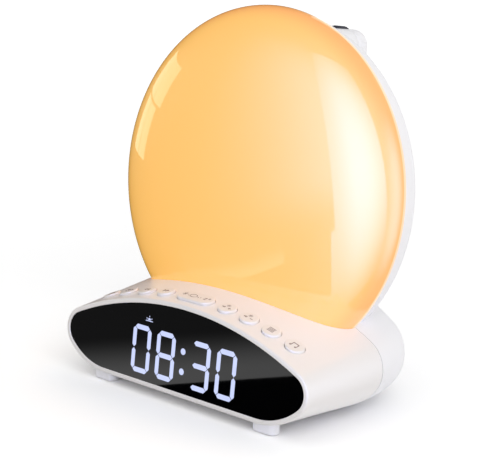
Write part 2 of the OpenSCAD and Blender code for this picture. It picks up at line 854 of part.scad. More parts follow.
module usb_port() color("silver") {
    translate([usb_x, port_y - shell_wall - port_l, 0]) {
        translate([0, 0, port_z]) difference() {
            translate([-usb_w / 2 - usb_wall, 0, -usb_h / 2 - usb_wall])
                cube([usb_w + 2 * usb_wall, port_l + shell_wall - 1, usb_h + 2 * usb_wall]);
            translate([-usb_w / 2, usb_wall, -usb_h / 2]) cube([usb_w, port_l + shell_wall, usb_h]);
        }
        translate([-usb_w / 2, 0, main_z + board_t])
            cube([usb_w, port_l - 5, port_z - usb_h / 2 - usb_wall - main_z - board_t]);
    }
}

module usb_tongue() color("black") {
    translate([usb_x - usb_w / 2 + 1, port_y - shell_wall - port_l + usb_wall,
               port_z + usb_h / 2 - 1 - tongue_t])
        cube([usb_w - 2, port_l - 2, tongue_t]);
}

// Speaker
module speaker_frame() color("dimgray") {
    at_speaker() difference() {
        union() {
            translate([0, 0, shell_wall + 2]) intersection() {
                cylinder(r = speaker_r + 5.5, h = frame_lip);
                rotate(45) cube([4 * speaker_r, 9, 4 * frame_lip], center = true);
            }
            translate([0, 0, shell_wall + 2]) intersection() {
                cylinder(r = speaker_r + 5.5, h = frame_lip);
                rotate(-45) cube([4 * speaker_r, 9, 4 * frame_lip], center = true);
            }
            translate([0, 0, shell_wall]) cylinder(r = speaker_r, h = 2 + frame_lip);
            translate([0, 0, shell_wall + 2])
                cylinder(r1 = speaker_r, r2 = magnet_r + 1, h = speaker_h - 8);
        }
        translate([0, 0, shell_wall - skin])
            cylinder(r1 = speaker_r - 1.2, r2 = magnet_r - 0.4, h = speaker_h - 7.4);
        translate([0, 0, shell_wall]) cylinder(r = magnet_r * 0.6, h = speaker_h);
        for (p = speaker_screw_places()) translate([p[0], p[1], 0]) cylinder(r = screw_r, h = speaker_h);
    }
}

module speaker_cone() color("black") {
    at_speaker() translate([0, 0, shell_wall]) difference() {
        cylinder(r1 = speaker_r - 1.3, r2 = magnet_r * 0.5, h = speaker_h * 0.45);
        translate([0, 0, -skin])
            cylinder(r1 = speaker_r - 1.3 - cone_t * 1.6, r2 = magnet_r * 0.5 - cone_t * 1.6,
                     h = speaker_h * 0.45 - cone_t);
    }
}

module speaker_magnet() color("silver") {
    at_speaker() translate([0, 0, shell_wall + speaker_h - 6]) cylinder(r = magnet_r, h = 6);
}

module speaker_screws() color("silver") {
    at_speaker() for (p = speaker_screw_places())
        translate([p[0], p[1], shell_wall + 2 + frame_lip]) mirror([0, 0, 1]) screw(frame_lip + 2);
}

// Backup cell
module battery_door() color("whitesmoke") {
    translate([battery_x, battery_y, 0]) difference() {
        union() {
            translate([0, 0, floor_z]) cylinder(r = door_r, h = lug_z - floor_z);
            translate([0, 0, lug_z - skin]) cylinder(r = cell_r, h = lug_h + skin);
            lugs(lug_r, 0, lug_z, lug_h);
        }
        translate([-cell_r * 0.7, -0.9, floor_z - past]) cube([cell_r * 1.4, 1.8, past + 1]);
    }
}

module backup_cell() color("silver") {
    translate([battery_x, battery_y, cell_z]) cylinder(r = cell_r, h = cell_h);
}

module battery_contact() color("gold") {
    translate([battery_x, battery_y, cell_z + cell_h]) difference() {
        cylinder(r = cell_r * 0.8, h = contact_t);
        translate([0, 0, -past]) cylinder(r = cell_r * 0.45, h = contact_t + 2 * past);
    }
}

// Projector, on the back of the dish
// A slab with round corners, whose lower edge is rounded too
module slab_section(width, h, r) {
    translate([-width / 2, r]) square([width, h - r]);
    translate([-width / 2 + r, 0]) square([width - 2 * r, h]);
    for (s = [-1, 1]) translate([s * (width / 2 - r), r]) circle(r);
}

module soft_slab(w, l, h, corner, r) {
    translate([-w / 2 + corner, 0, 0]) rotate([90, 0, 90])
        linear_extrude(w - 2 * corner) slab_section(l, h, r);
    translate([0, l / 2 - corner, 0]) rotate([90, 0, 0])
        linear_extrude(l - 2 * corner) slab_section(w, h, r);
    for (s = [-1, 1]) for (t = [-1, 1]) translate([s * (w / 2 - corner), t * (l / 2 - corner), 0])
        rotate_extrude() intersection() {
            slab_section(2 * corner, h, r);
            square([corner, h]);
        }
}

module pod_block() {
    translate([0, pod_bottom + pod_h / 2, -pod_depth])
        soft_slab(2 * pod_half, pod_h, pod_depth - dish_depth / 3, pod_corner, pod_round);
}

module along_axis(x, length) {
    translate([x, axis_up, -axis_depth]) rotate([0, 90, 0]) linear_extrude(length) children();
}

drum_left = -slot_half + 0.4;
wheel_left = slot_half - 0.4 - wheel_w;
drum_right = wheel_left - 0.4;
drum_mid = (drum_left + drum_right) / 2;
spindle_reach = 5;
saddle_screw_x = 12;
pod_screw_in = 7;
cap_screw_sink = 4;

module spindle_bores() {
    along_axis(-slot_half - spindle_reach - 0.5, 2 * (slot_half + spindle_reach + 0.5))
        circle(r = spindle_r + run_gap);
}

function saddle_screw_places() = [for (s = [-1, 1]) [s * saddle_screw_x, pod_bottom + pod_screw_in - 1]];
function cap_screw_places() =
    [for (s = [-1, 1]) [s * (pod_half - pod_screw_in), pod_bottom + pod_screw_in]];

// Depth of the dish's inner surface at a distance from its axis
function dish_floor(r) = let (fall = 1 - pow(r / (dish_r - shell_wall), dish_power))
    (dish_depth - shell_wall + past) * pow(fall, 1 / dish_power) - past;

module projector_saddle() color("whitesmoke") {
    at_disc() difference() {
        intersection() {
            pod_block();
            translate([-pod_half, pod_bottom, -axis_depth]) cube([2 * pod_half, pod_h, axis_depth]);
        }
        dish_solid();
        along_axis(-slot_half, 2 * slot_half) circle(r = drum_r + 0.5);
        translate([-slot_half, axis_up, -axis_depth - past])
            cube([2 * slot_half, pod_h, drum_r + 0.5 + past]);
        along_axis(wheel_left - 0.4, wheel_w + 0.8) circle(r = wheel_r + 0.4);
        translate([wheel_left - 0.4, axis_up, -axis_depth - past])
            cube([wheel_w + 0.8, pod_h, wheel_r + 0.4 + past]);
        spindle_bores();
        for (p = saddle_screw_places())
            translate([p[0], p[1], -dish_depth - 5]) cylinder(r = screw_r, h = dish_depth);
        for (p = cap_screw_places())
            translate([p[0], p[1], -axis_depth - past]) cylinder(r = screw_r, h = 6 + past);
    }
}

module projector_cap() color("whitesmoke") {
    at_disc() difference() {
        intersection() {
            pod_block();
            translate([-pod_half, pod_bottom, -pod_depth])
                cube([2 * pod_half, pod_h, pod_depth - axis_depth]);
        }
        translate([-slot_half, axis_up - wheel_r - 0.5, -pod_depth - past])
            cube([2 * slot_half, pod_h, pod_depth]);
        spindle_bores();
        for (p = cap_screw_places()) {
            translate([p[0], p[1], -pod_depth - past])
                cylinder(r = head_r + 0.3, h = past + cap_screw_sink);
            translate([p[0], p[1], -pod_depth]) cylinder(r = screw_r + 0.2, h = pod_depth);
        }
    }
}

module projector_drum() color("white") {
    at_disc() difference() {
        union() {
            along_axis(drum_left, drum_right - drum_left) circle(r = drum_r);
            along_axis(-slot_half - spindle_reach, 2 * (slot_half + spindle_reach)) circle(r = spindle_r);
        }
        translate([drum_mid, axis_up - drum_r + 2, -axis_depth]) rotate([-90, 0, 0])
            cylinder(r = glass_r + 0.1, h = 2 * drum_r);
    }
}

module projector_lens() color("lightblue") {
    at_disc() translate([drum_mid, axis_up + drum_r * 0.45, -axis_depth])
        rotate([-90, 0, 0]) cylinder(r = glass_r, h = 2.4);
}

module projector_film() color("black") {
    at_disc()
        translate([drum_mid, axis_up - 1, -axis_depth]) rotate([-90, 0, 0]) cylinder(r = glass_r, h = 1);
}

module projector_lamp() color("darkgreen") {
    at_disc() translate([drum_mid, axis_up - drum_r + 2, -axis_depth]) rotate([-90, 0, 0]) {
        cylinder(r = glass_r, h = 1);
        cylinder(r = 1.6, h = 2.6);
    }
}

module focus_wheel() color("dimgray") {
    teeth = 36;
    at_disc() along_axis(wheel_left, wheel_w) difference() {
        circle(r = wheel_r);
        circle(r = spindle_r + run_gap);
        for (i = [0:teeth - 1]) rotate(i * 360 / teeth)
            translate([wheel_r + 0.25, 0]) circle(r = 0.55, $fn = 16);
    }
}

module projector_screws() color("silver") {
    at_disc() for (p = cap_screw_places())
        translate([p[0], p[1], -pod_depth + cap_screw_sink]) screw(pod_depth - axis_depth + 1);
}

module saddle_screws() color("silver") {
    at_disc() for (p = saddle_screw_places())
        translate([p[0], p[1], run_gap - dish_floor(norm(p) + head_r)]) mirror([0, 0, 1]) screw(7);
}

// Feet and case screws
module front_feet() color("lightgray") feet(foot_x, front_foot_y, front_foot_top);
module rear_feet() color("lightgray") feet(rear_foot_x, rear_foot_y, rear_foot_top);

module case_screws() color("silver") {
    at_seam() for (p = case_screw_places()) translate([p[0], p[1], -6]) screw(6 + 7);
}

// Flat cables inside
ribbon_t = 0.8;

module ribbon(path, width, t, x) {
    translate([x - width / 2, 0, 0]) rotate([90, 0, 90]) linear_extrude(width) union()
        for (i = [0:len(path) - 2]) hull() for (p = [path[i], path[i + 1]])
            translate(p) circle(d = t, $fn = 12);
}

module display_ribbon() color("lightgray") {
    start = [face_y + (display_back + board_t + ribbon_t) * cos(face_lean) + digit_mid * sin(face_lean),
             digit_mid];
    ribbon([start, [start[0] + 4, start[1]], [start[0] + 8, main_z + 9], [main_y - 6, main_z + 9],
            [main_y + 2, main_z + board_t + 0.5]], 10, ribbon_t, -15);
}

module light_ribbon() color("lightgray") {
    ribbon([[main_y + 3, main_z + board_t + 0.5], [main_y - 1, main_z + 12], [disc_y - 2, seam_edge_z],
            [disc_y + 8, disc_z - light_board_r / 2], [disc_y + plate_back + 2, disc_z + 4]],
           8, ribbon_t, 22);
}

front_housing();
rear_cover();
diffuser();
light_reflector();
light_board();
light_leds();
light_screws();
screen_lens();
lit_segments();
idle_segments();
display_reflector();
display_board();
display_leds();
display_screws();
switch_board();
tact_switches();
switch_board_screws();
button_alarm_one();
button_alarm_two();
button_back();
button_next();
button_snooze();
button_up();
button_down();
button_menu();
button_sound();
main_board();
main_chips();
main_board_screws();
power_inlet();
inlet_pin();
usb_port();
usb_tongue();
speaker_frame();
speaker_cone();
speaker_magnet();
speaker_screws();
battery_door();
backup_cell();
battery_contact();
projector_saddle();
projector_cap();
projector_drum();
projector_lens();
projector_film();
projector_lamp();
focus_wheel();
projector_screws();
saddle_screws();
front_feet();
rear_feet();
case_screws();
display_ribbon();
light_ribbon();
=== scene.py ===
import bpy
import json
import math
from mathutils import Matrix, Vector


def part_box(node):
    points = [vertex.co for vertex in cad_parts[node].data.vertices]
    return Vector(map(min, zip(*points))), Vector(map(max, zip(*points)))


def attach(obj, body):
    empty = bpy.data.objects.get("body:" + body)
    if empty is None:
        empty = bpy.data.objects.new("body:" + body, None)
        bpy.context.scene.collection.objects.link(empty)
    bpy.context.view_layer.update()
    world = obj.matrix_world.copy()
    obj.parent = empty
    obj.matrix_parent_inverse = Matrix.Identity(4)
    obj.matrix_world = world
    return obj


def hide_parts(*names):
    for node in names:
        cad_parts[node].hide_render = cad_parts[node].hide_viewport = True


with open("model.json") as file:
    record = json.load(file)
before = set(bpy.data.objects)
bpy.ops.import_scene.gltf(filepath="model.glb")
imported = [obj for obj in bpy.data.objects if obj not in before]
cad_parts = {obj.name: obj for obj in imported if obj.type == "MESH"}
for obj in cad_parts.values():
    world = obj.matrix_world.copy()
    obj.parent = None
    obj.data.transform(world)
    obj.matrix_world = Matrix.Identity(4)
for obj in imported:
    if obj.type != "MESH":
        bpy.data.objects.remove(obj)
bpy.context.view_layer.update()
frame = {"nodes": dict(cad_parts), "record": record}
nodes = frame["nodes"]

# Lengths are in millimetres until a point is placed; the model is in metres.
mm = 0.001

# The same places as in the frame: the display face, the seam, the disc, the row of caps and the arch's middle
layout = {"faceLean": 8.0, "faceY": -64.268, "discLean": 7.0, "discY": 6.132, "discZ": 111.9, "seamY": -7.608,
          "edge": 1.2, "rowBack": 10.4, "archMid": 28.0}

# The base's outline at the face and at the seam: a top arc, two ends and two flanks, over a flat bottom
frontShape = {"top": 56.6, "topR": 198.8, "flankX": 57.8, "flankR": 43.2, "endR": 12.8, "bottom": 5.4}
seamShape = {"top": 62.6, "topR": 188.0, "flankX": 66.0, "flankR": 33.4, "endR": 17.0, "bottom": 2.4}
arcSteps = {"top": 36, "end": 18, "flank": 18, "bottom": 12}


def tiltedPoint(x, up, out, y, z, lean):
    c, s = math.cos(math.radians(lean)), math.sin(math.radians(lean))
    return Vector((x, y + up * s - out * c, z + up * c + out * s)) * mm


def facePoint(x, up, out):
    return tiltedPoint(x, up, out, layout["faceY"], 0, layout["faceLean"])


def seamPoint(x, up, out):
    return tiltedPoint(x, up, out, layout["seamY"], 0, layout["discLean"])


def discPoint(x, up, out):
    return tiltedPoint(x, up, out, layout["discY"], layout["discZ"], layout["discLean"])


# The caps stand on the line from the bevel of the face to the seam
crestPoint = facePoint(0, frontShape["top"], -layout["edge"]) / mm
seamCrest = seamPoint(0, seamShape["top"], 0) / mm
rowY = facePoint(0, frontShape["top"], 0).y / mm + layout["rowBack"]
rowPart = (rowY - crestPoint.y) / (seamCrest.y - crestPoint.y)
rowMiddle = crestPoint.lerp(seamCrest, rowPart)
rowSlope = math.atan2(seamCrest.z - crestPoint.z, seamCrest.y - crestPoint.y)
rowRadius = frontShape["topR"] + rowPart * (seamShape["topR"] - frontShape["topR"])


def rowPoint(x, y, z):
    c, s = math.cos(rowSlope), math.sin(rowSlope)
    return Vector((x, rowMiddle.y + y * c - z * s, rowMiddle.z + y * s + z * c)) * mm


def archDrop(x):
    return math.sqrt(rowRadius ** 2 - x * x) - rowRadius


# Selection and mesh helpers

def only(obj):
    bpy.ops.object.select_all(action="DESELECT")
    obj.select_set(True)
    bpy.context.view_layer.objects.active = obj


def editAll(obj, *steps):
    only(obj)
    bpy.ops.object.mode_set(mode="EDIT")
    bpy.ops.mesh.select_all(action="SELECT")
    for step in steps:
        step()
    bpy.ops.object.mode_set(mode="OBJECT")


def mergeDoubles():
    bpy.ops.mesh.remove_doubles(threshold=2e-6)


def faceOutwards():
    bpy.ops.mesh.normals_make_consistent(inside=False)


def smooth(obj, degrees):
    only(obj)
    bpy.ops.object.shade_smooth_by_angle(angle=math.radians(degrees))


def applyModifier(obj, kind, **settings):
    only(obj)
    modifier = obj.modifiers.new(kind.title(), kind)
    for name, value in settings.items():
        setattr(modifier, name, value)
    bpy.ops.object.modifier_apply(modifier=modifier.name)


def cut(obj, tool, operation="DIFFERENCE"):
    applyModifier(obj, "BOOLEAN", operation=operation, object=tool, solver="EXACT")
    bpy.data.objects.remove(tool, do_unlink=True)
    editAll(obj, mergeDoubles)


def joined(name, parts):
    bpy.ops.object.select_all(action="DESELECT")
    for part in parts:
        part.select_set(True)
    bpy.context.view_layer.objects.active = parts[0]
    if len(parts) > 1:
        bpy.ops.object.join()
    parts[0].name = name
    return parts[0]


def ringSurface(name, rings):
    # a closed surface through rings of points, from a rolled-up grid; a ring on one point closes an end
    across, along = len(rings[0]), len(rings) - 1
    bpy.ops.object.select_all(action="DESELECT")
    bpy.ops.mesh.primitive_grid_add(x_subdivisions=across, y_subdivisions=along, size=1)
    obj = bpy.context.active_object
    obj.name = name
    for vertex in obj.data.vertices:
        i = round((vertex.co.x + 0.5) * across) % across
        j = round((vertex.co.y + 0.5) * along)
        vertex.co = rings[j][i]
    editAll(obj, mergeDoubles, faceOutwards)
    return obj


def applied(obj):
    only(obj)
    bpy.ops.object.transform_apply(location=True, rotation=True, scale=True)
    return obj


def placeLocal(obj, place):
    # the object is modelled about the origin in millimetres, then carried to its place
    for vertex in obj.data.vertices:
        vertex.co = place(vertex.co.x, vertex.co.y, vertex.co.z)
    return obj


def upright(x, y, z):
    return Vector((x, y, z)) * mm


def cylinder(radius, depth, sides, at=(0, 0, 0)):
    # stands on its base, in millimetres
    middle = (at[0], at[1], at[2] + depth / 2)
    bpy.ops.object.select_all(action="DESELECT")
    bpy.ops.mesh.primitive_cylinder_add(vertices=sides, radius=radius, depth=depth, location=middle)
    return applied(bpy.context.active_object)


def block(low, high):
    # a box between two corners, in millimetres
    bpy.ops.object.select_all(action="DESELECT")
    bpy.ops.mesh.primitive_cube_add(size=1, location=[(a + b) / 2 for a, b in zip(low, high)])
    obj = bpy.context.active_object
    obj.scale = [b - a for a, b in zip(low, high)]
    return applied(obj)


def discBlock(low, high):
    return placeLocal(block(low, high), discPoint)


def quarterTurn(steps, first=1):
    # cosine and sine of even steps through a quarter of a turn
    turns = [math.pi / 2 * k / steps for k in range(first, steps + 1)]
    return [(math.cos(turn), math.sin(turn)) for turn in turns]


def arch(shape, grow=0):
    # one turn round the base's outline, with fixed numbers of points on its arcs; an end arc touches the top
    # arc and a flank arc from inside, so its centre lies where two circles cross
    topReach, flankReach = shape["topR"] - shape["endR"], shape["flankR"] - shape["endR"]
    topV, flankV = shape["top"] - shape["topR"], shape["bottom"] + shape["flankR"]
    dx, dy = shape["flankX"], flankV - topV
    apart = math.hypot(dx, dy)
    along = (topReach * topReach - flankReach * flankReach + apart * apart) / (2 * apart)
    off = math.sqrt(topReach * topReach - along * along)
    endX, endV = (along * dx + off * dy) / apart, topV + (along * dy - off * dx) / apart
    turnTop = math.atan2(endV - topV, endX)
    turnEnd = math.atan2(endV - flankV, endX - shape["flankX"])
    half = []
    for centreX, centreV, radius, start, end, count in (
            (0, topV, shape["topR"], math.pi / 2, turnTop, arcSteps["top"]),
            (endX, endV, shape["endR"], turnTop, turnEnd, arcSteps["end"]),
            (shape["flankX"], flankV, shape["flankR"], turnEnd, -math.pi / 2, arcSteps["flank"])):
        for i in range(count):
            turn = start + (end - start) * i / count
            reach = radius + grow
            half.append((centreX + reach * math.cos(turn), centreV + reach * math.sin(turn)))
    for i in range(arcSteps["bottom"]):
        half.append((shape["flankX"] * (1 - i / arcSteps["bottom"]), shape["bottom"] - grow))
    half.append((0, shape["bottom"] - grow))
    return half + [(-x, v) for x, v in reversed(half[1:-1])]


def archRing(point, shape, grow, out):
    return [point(x, v, out) for x, v in arch(shape, grow)]


def pointRing(point, count):
    return [point] * count


# Camera at the photograph's angle

camera = {"at": (526.69, -586.23, 286.75), "turn": 42.05, "down": 14.4, "lens": 104.17, "sensor": 36}
cameraData = bpy.data.cameras.new("camera")
cameraData.lens = camera["lens"]
cameraData.sensor_width = camera["sensor"]
cameraObject = bpy.data.objects.new("camera", cameraData)
cameraObject.location = [c * mm for c in camera["at"]]
cameraObject.rotation_euler = (math.radians(90 - camera["down"]), 0, math.radians(camera["turn"]))
bpy.context.collection.objects.link(cameraObject)
bpy.context.scene.camera = cameraObject
print("camera placed")


# Materials

def linear(hexColour):
    value = hexColour.lstrip("#")
    channels = [int(value[i:i + 2], 16) / 255 for i in (0, 2, 4)]
    return [c / 12.92 if c <= 0.04045 else ((c + 0.055) / 1.055) ** 2.4 for c in channels] + [1.0]


def addNode(tree, kind, settings=None, links=None):
    # adds a node, sets its values by name and links its inputs to other nodes' outputs
    made = tree.nodes.new(kind)
    for name, value in (settings or {}).items():
        if isinstance(name, int) or name in made.inputs:
            made.inputs[name].default_value = value
        else:
            setattr(made, name, value)
    for name, (source, output) in (links or {}).items():
        tree.links.new(source.outputs[output], made.inputs[name])
    return made


def newMaterial(name):
    made = bpy.data.materials.new(name)
    made.use_nodes = True
    tree = made.node_tree
    tree.nodes.clear()
    output = tree.nodes.new("ShaderNodeOutputMaterial")
    return made, tree, output


def unevenly(tree, low, high, grainMm, detail=2.0, reach=(0, 1)):
    # a value that wanders between two bounds, in grains of a real size
    coords = addNode(tree, "ShaderNodeTexCoord")
    noise = addNode(tree, "ShaderNodeTexNoise", {"Scale": 1 / (grainMm * mm), "Detail": detail},
                    {"Vector": (coords, "Object")})
    return addNode(tree, "ShaderNodeMapRange", {"From Min": reach[0], "From Max": reach[1], "To Min": low,
                   "To Max": high}, {"Value": (noise, "Fac")})


def plasticLook(name, colour, roughness, grain=0.02, grainMm=0.6, ior=1.5):
    # a moulded plastic: one colour with a fine uneven gloss, which breaks up the highlights
    made, tree, output = newMaterial(name)
    gloss = unevenly(tree, max(roughness - grain, 0.02), roughness + grain, grainMm, reach=(0.3, 0.7))
    shader = addNode(tree, "ShaderNodeBsdfPrincipled", {"Base Color": linear(colour), "IOR": ior},
                     {"Roughness": (gloss, "Result")})
    tree.links.new(shader.outputs[0], output.inputs[0])
    return made


def metalLook(name, colour, roughness, grain=0.05, grainMm=0.4):
    # a bare or plated metal with fine drawing marks, which scatter its shine
    made, tree, output = newMaterial(name)
    gloss = unevenly(tree, max(roughness - grain, 0.03), roughness + grain, grainMm, detail=3.0)
    shader = addNode(tree, "ShaderNodeBsdfPrincipled", {"Base Color": linear(colour), "Metallic": 1.0},
                     {"Roughness": (gloss, "Result")})
    tree.links.new(shader.outputs[0], output.inputs[0])
    return made


def glowLook(name, colour, strength):
    # milky light guide lit from behind, a little uneven where its diodes stand
    made, tree, output = newMaterial(name)
    power = unevenly(tree, strength * 0.94, strength * 1.06, grainMm=4, detail=1.0)
    shader = addNode(tree, "ShaderNodeBsdfPrincipled", {"Base Color": linear("#1a1a1c"), "Roughness": 0.2,
                     "Emission Color": linear(colour)}, {"Emission Strength": (power, "Result")})
    tree.links.new(shader.outputs[0], output.inputs[0])
    return made


def glassLook(name, colour):
    # polished lens glass with a thin coating, which lets the film behind it show
    made, tree, output = newMaterial(name)
    gloss = unevenly(tree, 0.02, 0.05, grainMm=10 / 3)
    shader = addNode(tree, "ShaderNodeBsdfPrincipled", {"Base Color": linear(colour), "IOR": 1.5,
                     "Transmission Weight": 0.85}, {"Roughness": (gloss, "Result")})
    tree.links.new(shader.outputs[0], output.inputs[0])
    return made


# sideMm and rimMm are heights over the rim: the side's colour and the pale rim fade out between them
diffuserLook = {"body": "#bc957c", "glowColour": "#ffbf12", "sideColour": "#ffa616", "rimColour": "#ffdcae",
                "glow": 0.72, "sideMm": (5, 15), "rimMm": (1.3, 1.8), "roughness": 0.46, "ior": 1.49,
                "polish": 0.03}


def diffuserMaterial():
    # opal acrylic lit by warm diodes: an even amber, deeper where the dome turns away to its rim
    made, tree, output = newMaterial("opalAcrylicAmber")
    coords = addNode(tree, "ShaderNodeTexCoord")
    # into the disc's own frame, so that Z is the distance in front of its rim
    rimMiddle = Vector((0, layout["discY"], layout["discZ"])) * mm
    centred = addNode(tree, "ShaderNodeVectorMath", {"operation": "SUBTRACT", 1: rimMiddle},
                      {0: (coords, "Object")})
    turned = addNode(tree, "ShaderNodeVectorRotate", {"rotation_type": "X_AXIS",
                     "Angle": math.radians(layout["discLean"] - 90)}, {"Vector": (centred, 0)})
    parts = addNode(tree, "ShaderNodeSeparateXYZ", None, {"Vector": (turned, 0)})
    sideLow, sideHigh = diffuserLook["sideMm"]
    near = addNode(tree, "ShaderNodeMapRange", {"From Min": sideLow * mm, "From Max": sideHigh * mm,
                   "To Min": 1, "To Max": 0, "interpolation_type": "SMOOTHSTEP"}, {"Value": (parts, "Z")})
    sides = addNode(tree, "ShaderNodeMix", {"data_type": "RGBA", 6: linear(diffuserLook["glowColour"]),
                    7: linear(diffuserLook["sideColour"])}, {0: (near, 0)})
    rimLow, rimHigh = diffuserLook["rimMm"]
    rim = addNode(tree, "ShaderNodeMapRange", {"From Min": rimLow * mm, "From Max": rimHigh * mm, "To Min": 1,
                  "To Max": 0}, {"Value": (parts, "Z")})
    colour = addNode(tree, "ShaderNodeMix", {"data_type": "RGBA", 7: linear(diffuserLook["rimColour"])},
                     {0: (rim, 0), 6: (sides, 2)})
    shader = addNode(tree, "ShaderNodeBsdfPrincipled", {"Base Color": linear(diffuserLook["body"]),
                     "Roughness": diffuserLook["roughness"], "IOR": diffuserLook["ior"],
                     "Emission Strength": diffuserLook["glow"], "Coat Weight": 1.0,
                     "Coat Roughness": diffuserLook["polish"]}, {"Emission Color": (colour, 2)})
    tree.links.new(shader.outputs[0], output.inputs[0])
    return made


# Moulded ABS has a soft sheen, glossier on the base than on the rear. Smoked acrylic is polished and mirrors
# the studio. Painted steel, nylon, silicone and the paper cone are duller in turn, and bare metals shine.
looks = {
    "diffuser_amber": diffuserMaterial(),
    "housing_white": plasticLook("glossAbsWhite", "#f2efee", 0.32),
    "cover_white": plasticLook("satinAbsWhite", "#f3f2f4", 0.42, grain=0.05, grainMm=0.5),
    "button_white": plasticLook("satinAbsButton", "#efebe8", 0.36),
    "screen_black": plasticLook("smokedAcrylic", "#030304", 0.03, grain=0.005, grainMm=3.0, ior=1.49),
    "segments_lit": glowLook("lightGuideLit", "#cdd7ff", 1.0),
    "segments_idle": plasticLook("lightGuideDark", "#3c3c40", 0.4),
    "display_grey": plasticLook("reflectorGrey", "#56565a", 0.6),
    "reflector_white": plasticLook("reflectorWhite", "#f2f2f2", 0.3),
    "circuit_board": plasticLook("solderMaskGreen", "#0e4a2c", 0.35, grain=0.08, grainMm=1.2),
    "led_resin": plasticLook("ledResin", "#f2d27a", 0.2),
    "steel_screws": metalLook("zincPlatedSteel", "#b9bcc0", 0.35),
    "switch_black": plasticLook("blackNylon", "#161618", 0.5),
    "bright_metal": metalLook("nickelPlate", "#d6d6d4", 0.2),
    "speaker_steel": plasticLook("paintedSteelFrame", "#303034", 0.45),
    "cone_paper": plasticLook("conePaper", "#141414", 0.85, grain=0.1, grainMm=0.8),
    "magnet_steel": metalLook("magnetSteel", "#a8a8aa", 0.4),
    "spring_brass": metalLook("springBrass", "#d8b05c", 0.3),
    "drum_white": plasticLook("satinAbsDrum", "#e9e9ea", 0.4),
    "wheel_grey": plasticLook("mattNylonGrey", "#3a3a3c", 0.6),
    "foot_rubber": plasticLook("siliconeFoot", "#f0eff0", 0.7, grain=0.08),
    "ribbon_grey": plasticLook("ribbonCable", "#9c9ca2", 0.5),
    "lens_glass": glassLook("lensGlass", "#c4d6e8"),
    "sign_brown": plasticLook("padPrintedSign", "#8f7f78", 0.5),
}

slotOf = {s["node"]: s["material_slot"] for s in frame["record"]["subparts"]}
for nodeName, node in nodes.items():
    node.data.materials.clear()
    node.data.materials.append(looks[slotOf[nodeName]])
print("materials made:", len(looks))


def dress(obj, slotName, body, *replaced):
    obj.data.materials.clear()
    obj.data.materials.append(looks[slotName])
    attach(obj, body)
    if replaced:
        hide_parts(*replaced)
    return obj


# Diffuser

dome = {"radius": 100.0, "height": 31.5, "power": 2.2, "wall": 2.0, "lip": 3.0, "gap": 0.3, "around": 192,
        "toolAround": 128, "steps": 40, "crowding": 1.6, "baseSpace": (-1.2, -1.0), "smooth": 40}


def superPoint(radius, height, power, part):
    turn = math.pi / 2 * part
    return radius * math.cos(turn) ** (2 / power), height * math.sin(turn) ** (2 / power)


def spun(name, profile, around):
    # a profile of radius and height over the rim, turned about the disc's axis
    turns = [2 * math.pi * i / around for i in range(around)]
    ways = [(math.sin(turn), math.cos(turn)) for turn in turns]
    rings = [[discPoint(radius * s, radius * c, out) for s, c in ways] for radius, out in profile]
    return ringSurface(name, rings)


def domeProfile(radius, height):
    # from the middle to the rim, with its points crowded towards the rim
    parts = [(k / dome["steps"]) ** dome["crowding"] for k in range(dome["steps"])]
    return [(0.0, height)] + [superPoint(radius, height, dome["power"], part) for part in reversed(parts)]


def domeSolid(name, grow):
    profile = domeProfile(dome["radius"] + grow, dome["height"] + grow)
    return spun(name, profile + [(0.0, 0.0)], dome["toolAround"])


def archBlock(name, grow, front, back):
    # a closed block with the base's outline, from the face to the seam
    frontRing = archRing(facePoint, frontShape, grow, front)
    frontEnd = pointRing(facePoint(0, layout["archMid"], front), len(frontRing))
    backEnd = pointRing(seamPoint(0, layout["archMid"], back), len(frontRing))
    return ringSurface(name, [frontEnd, frontRing, archRing(seamPoint, seamShape, grow, back), backEnd])


outer = domeProfile(dome["radius"], dome["height"])
inner = domeProfile(dome["radius"] - dome["wall"], dome["height"] - dome["wall"])
diffuser = spun("diffuser_dome", outer + inner[::-1], dome["around"])
cut(diffuser, archBlock("base space", -dome["lip"], *dome["baseSpace"]))
smooth(diffuser, dome["smooth"])
dress(diffuser, "diffuser_amber", "clock", "diffuser")
print("diffuser made")

# Front housing: bead is the rim round the screen, each point by how far it lies inwards and how far out

housing = {"bezel": 2.7, "edge": layout["edge"], "lens": 2.4, "screenWall": 2.0, "wall": 2.4, "seamGap": 0.15,
           "seamLip": 0.25, "window": 14.0, "edgeSteps": 5, "slopeSteps": 8, "smooth": 30,
           "bead": ((0, -0.25), (0.12, -0.08), (0.3, 0), (0.8, 0), (1.0, -0.08))}


def frontHousing():
    def faceRing(grow, out):
        return archRing(facePoint, frontShape, grow, out)

    def seamRing(grow, out):
        return archRing(seamPoint, seamShape, grow, out)

    bezel, edge, wall, lens = housing["bezel"], housing["edge"], housing["wall"], housing["lens"]
    gap, lip, window, steps = housing["seamGap"], housing["seamLip"], housing["window"], housing["slopeSteps"]
    back = -lens - housing["screenWall"]
    rings = [faceRing(-bezel, -lens)] + [faceRing(-bezel + inwards, out) for inwards, out in housing["bead"]]
    for c, s in quarterTurn(housing["edgeSteps"]):
        rings.append(faceRing(-edge + edge * s, -edge + edge * c))
    # straight from the rounded edge to the seam, then round its lip to the inside
    faceEdge, seamEdge = faceRing(0, -edge), seamRing(0, gap + lip)
    for k in range(1, steps):
        rings.append([a.lerp(b, k / steps) for a, b in zip(faceEdge, seamEdge)])
    rings += [seamEdge, seamRing(-lip, gap), seamRing(-wall, gap)]
    rings += [faceRing(-wall, back), faceRing(-window, back), faceRing(-window, -lens), rings[0]]
    return ringSurface("front_case", rings)


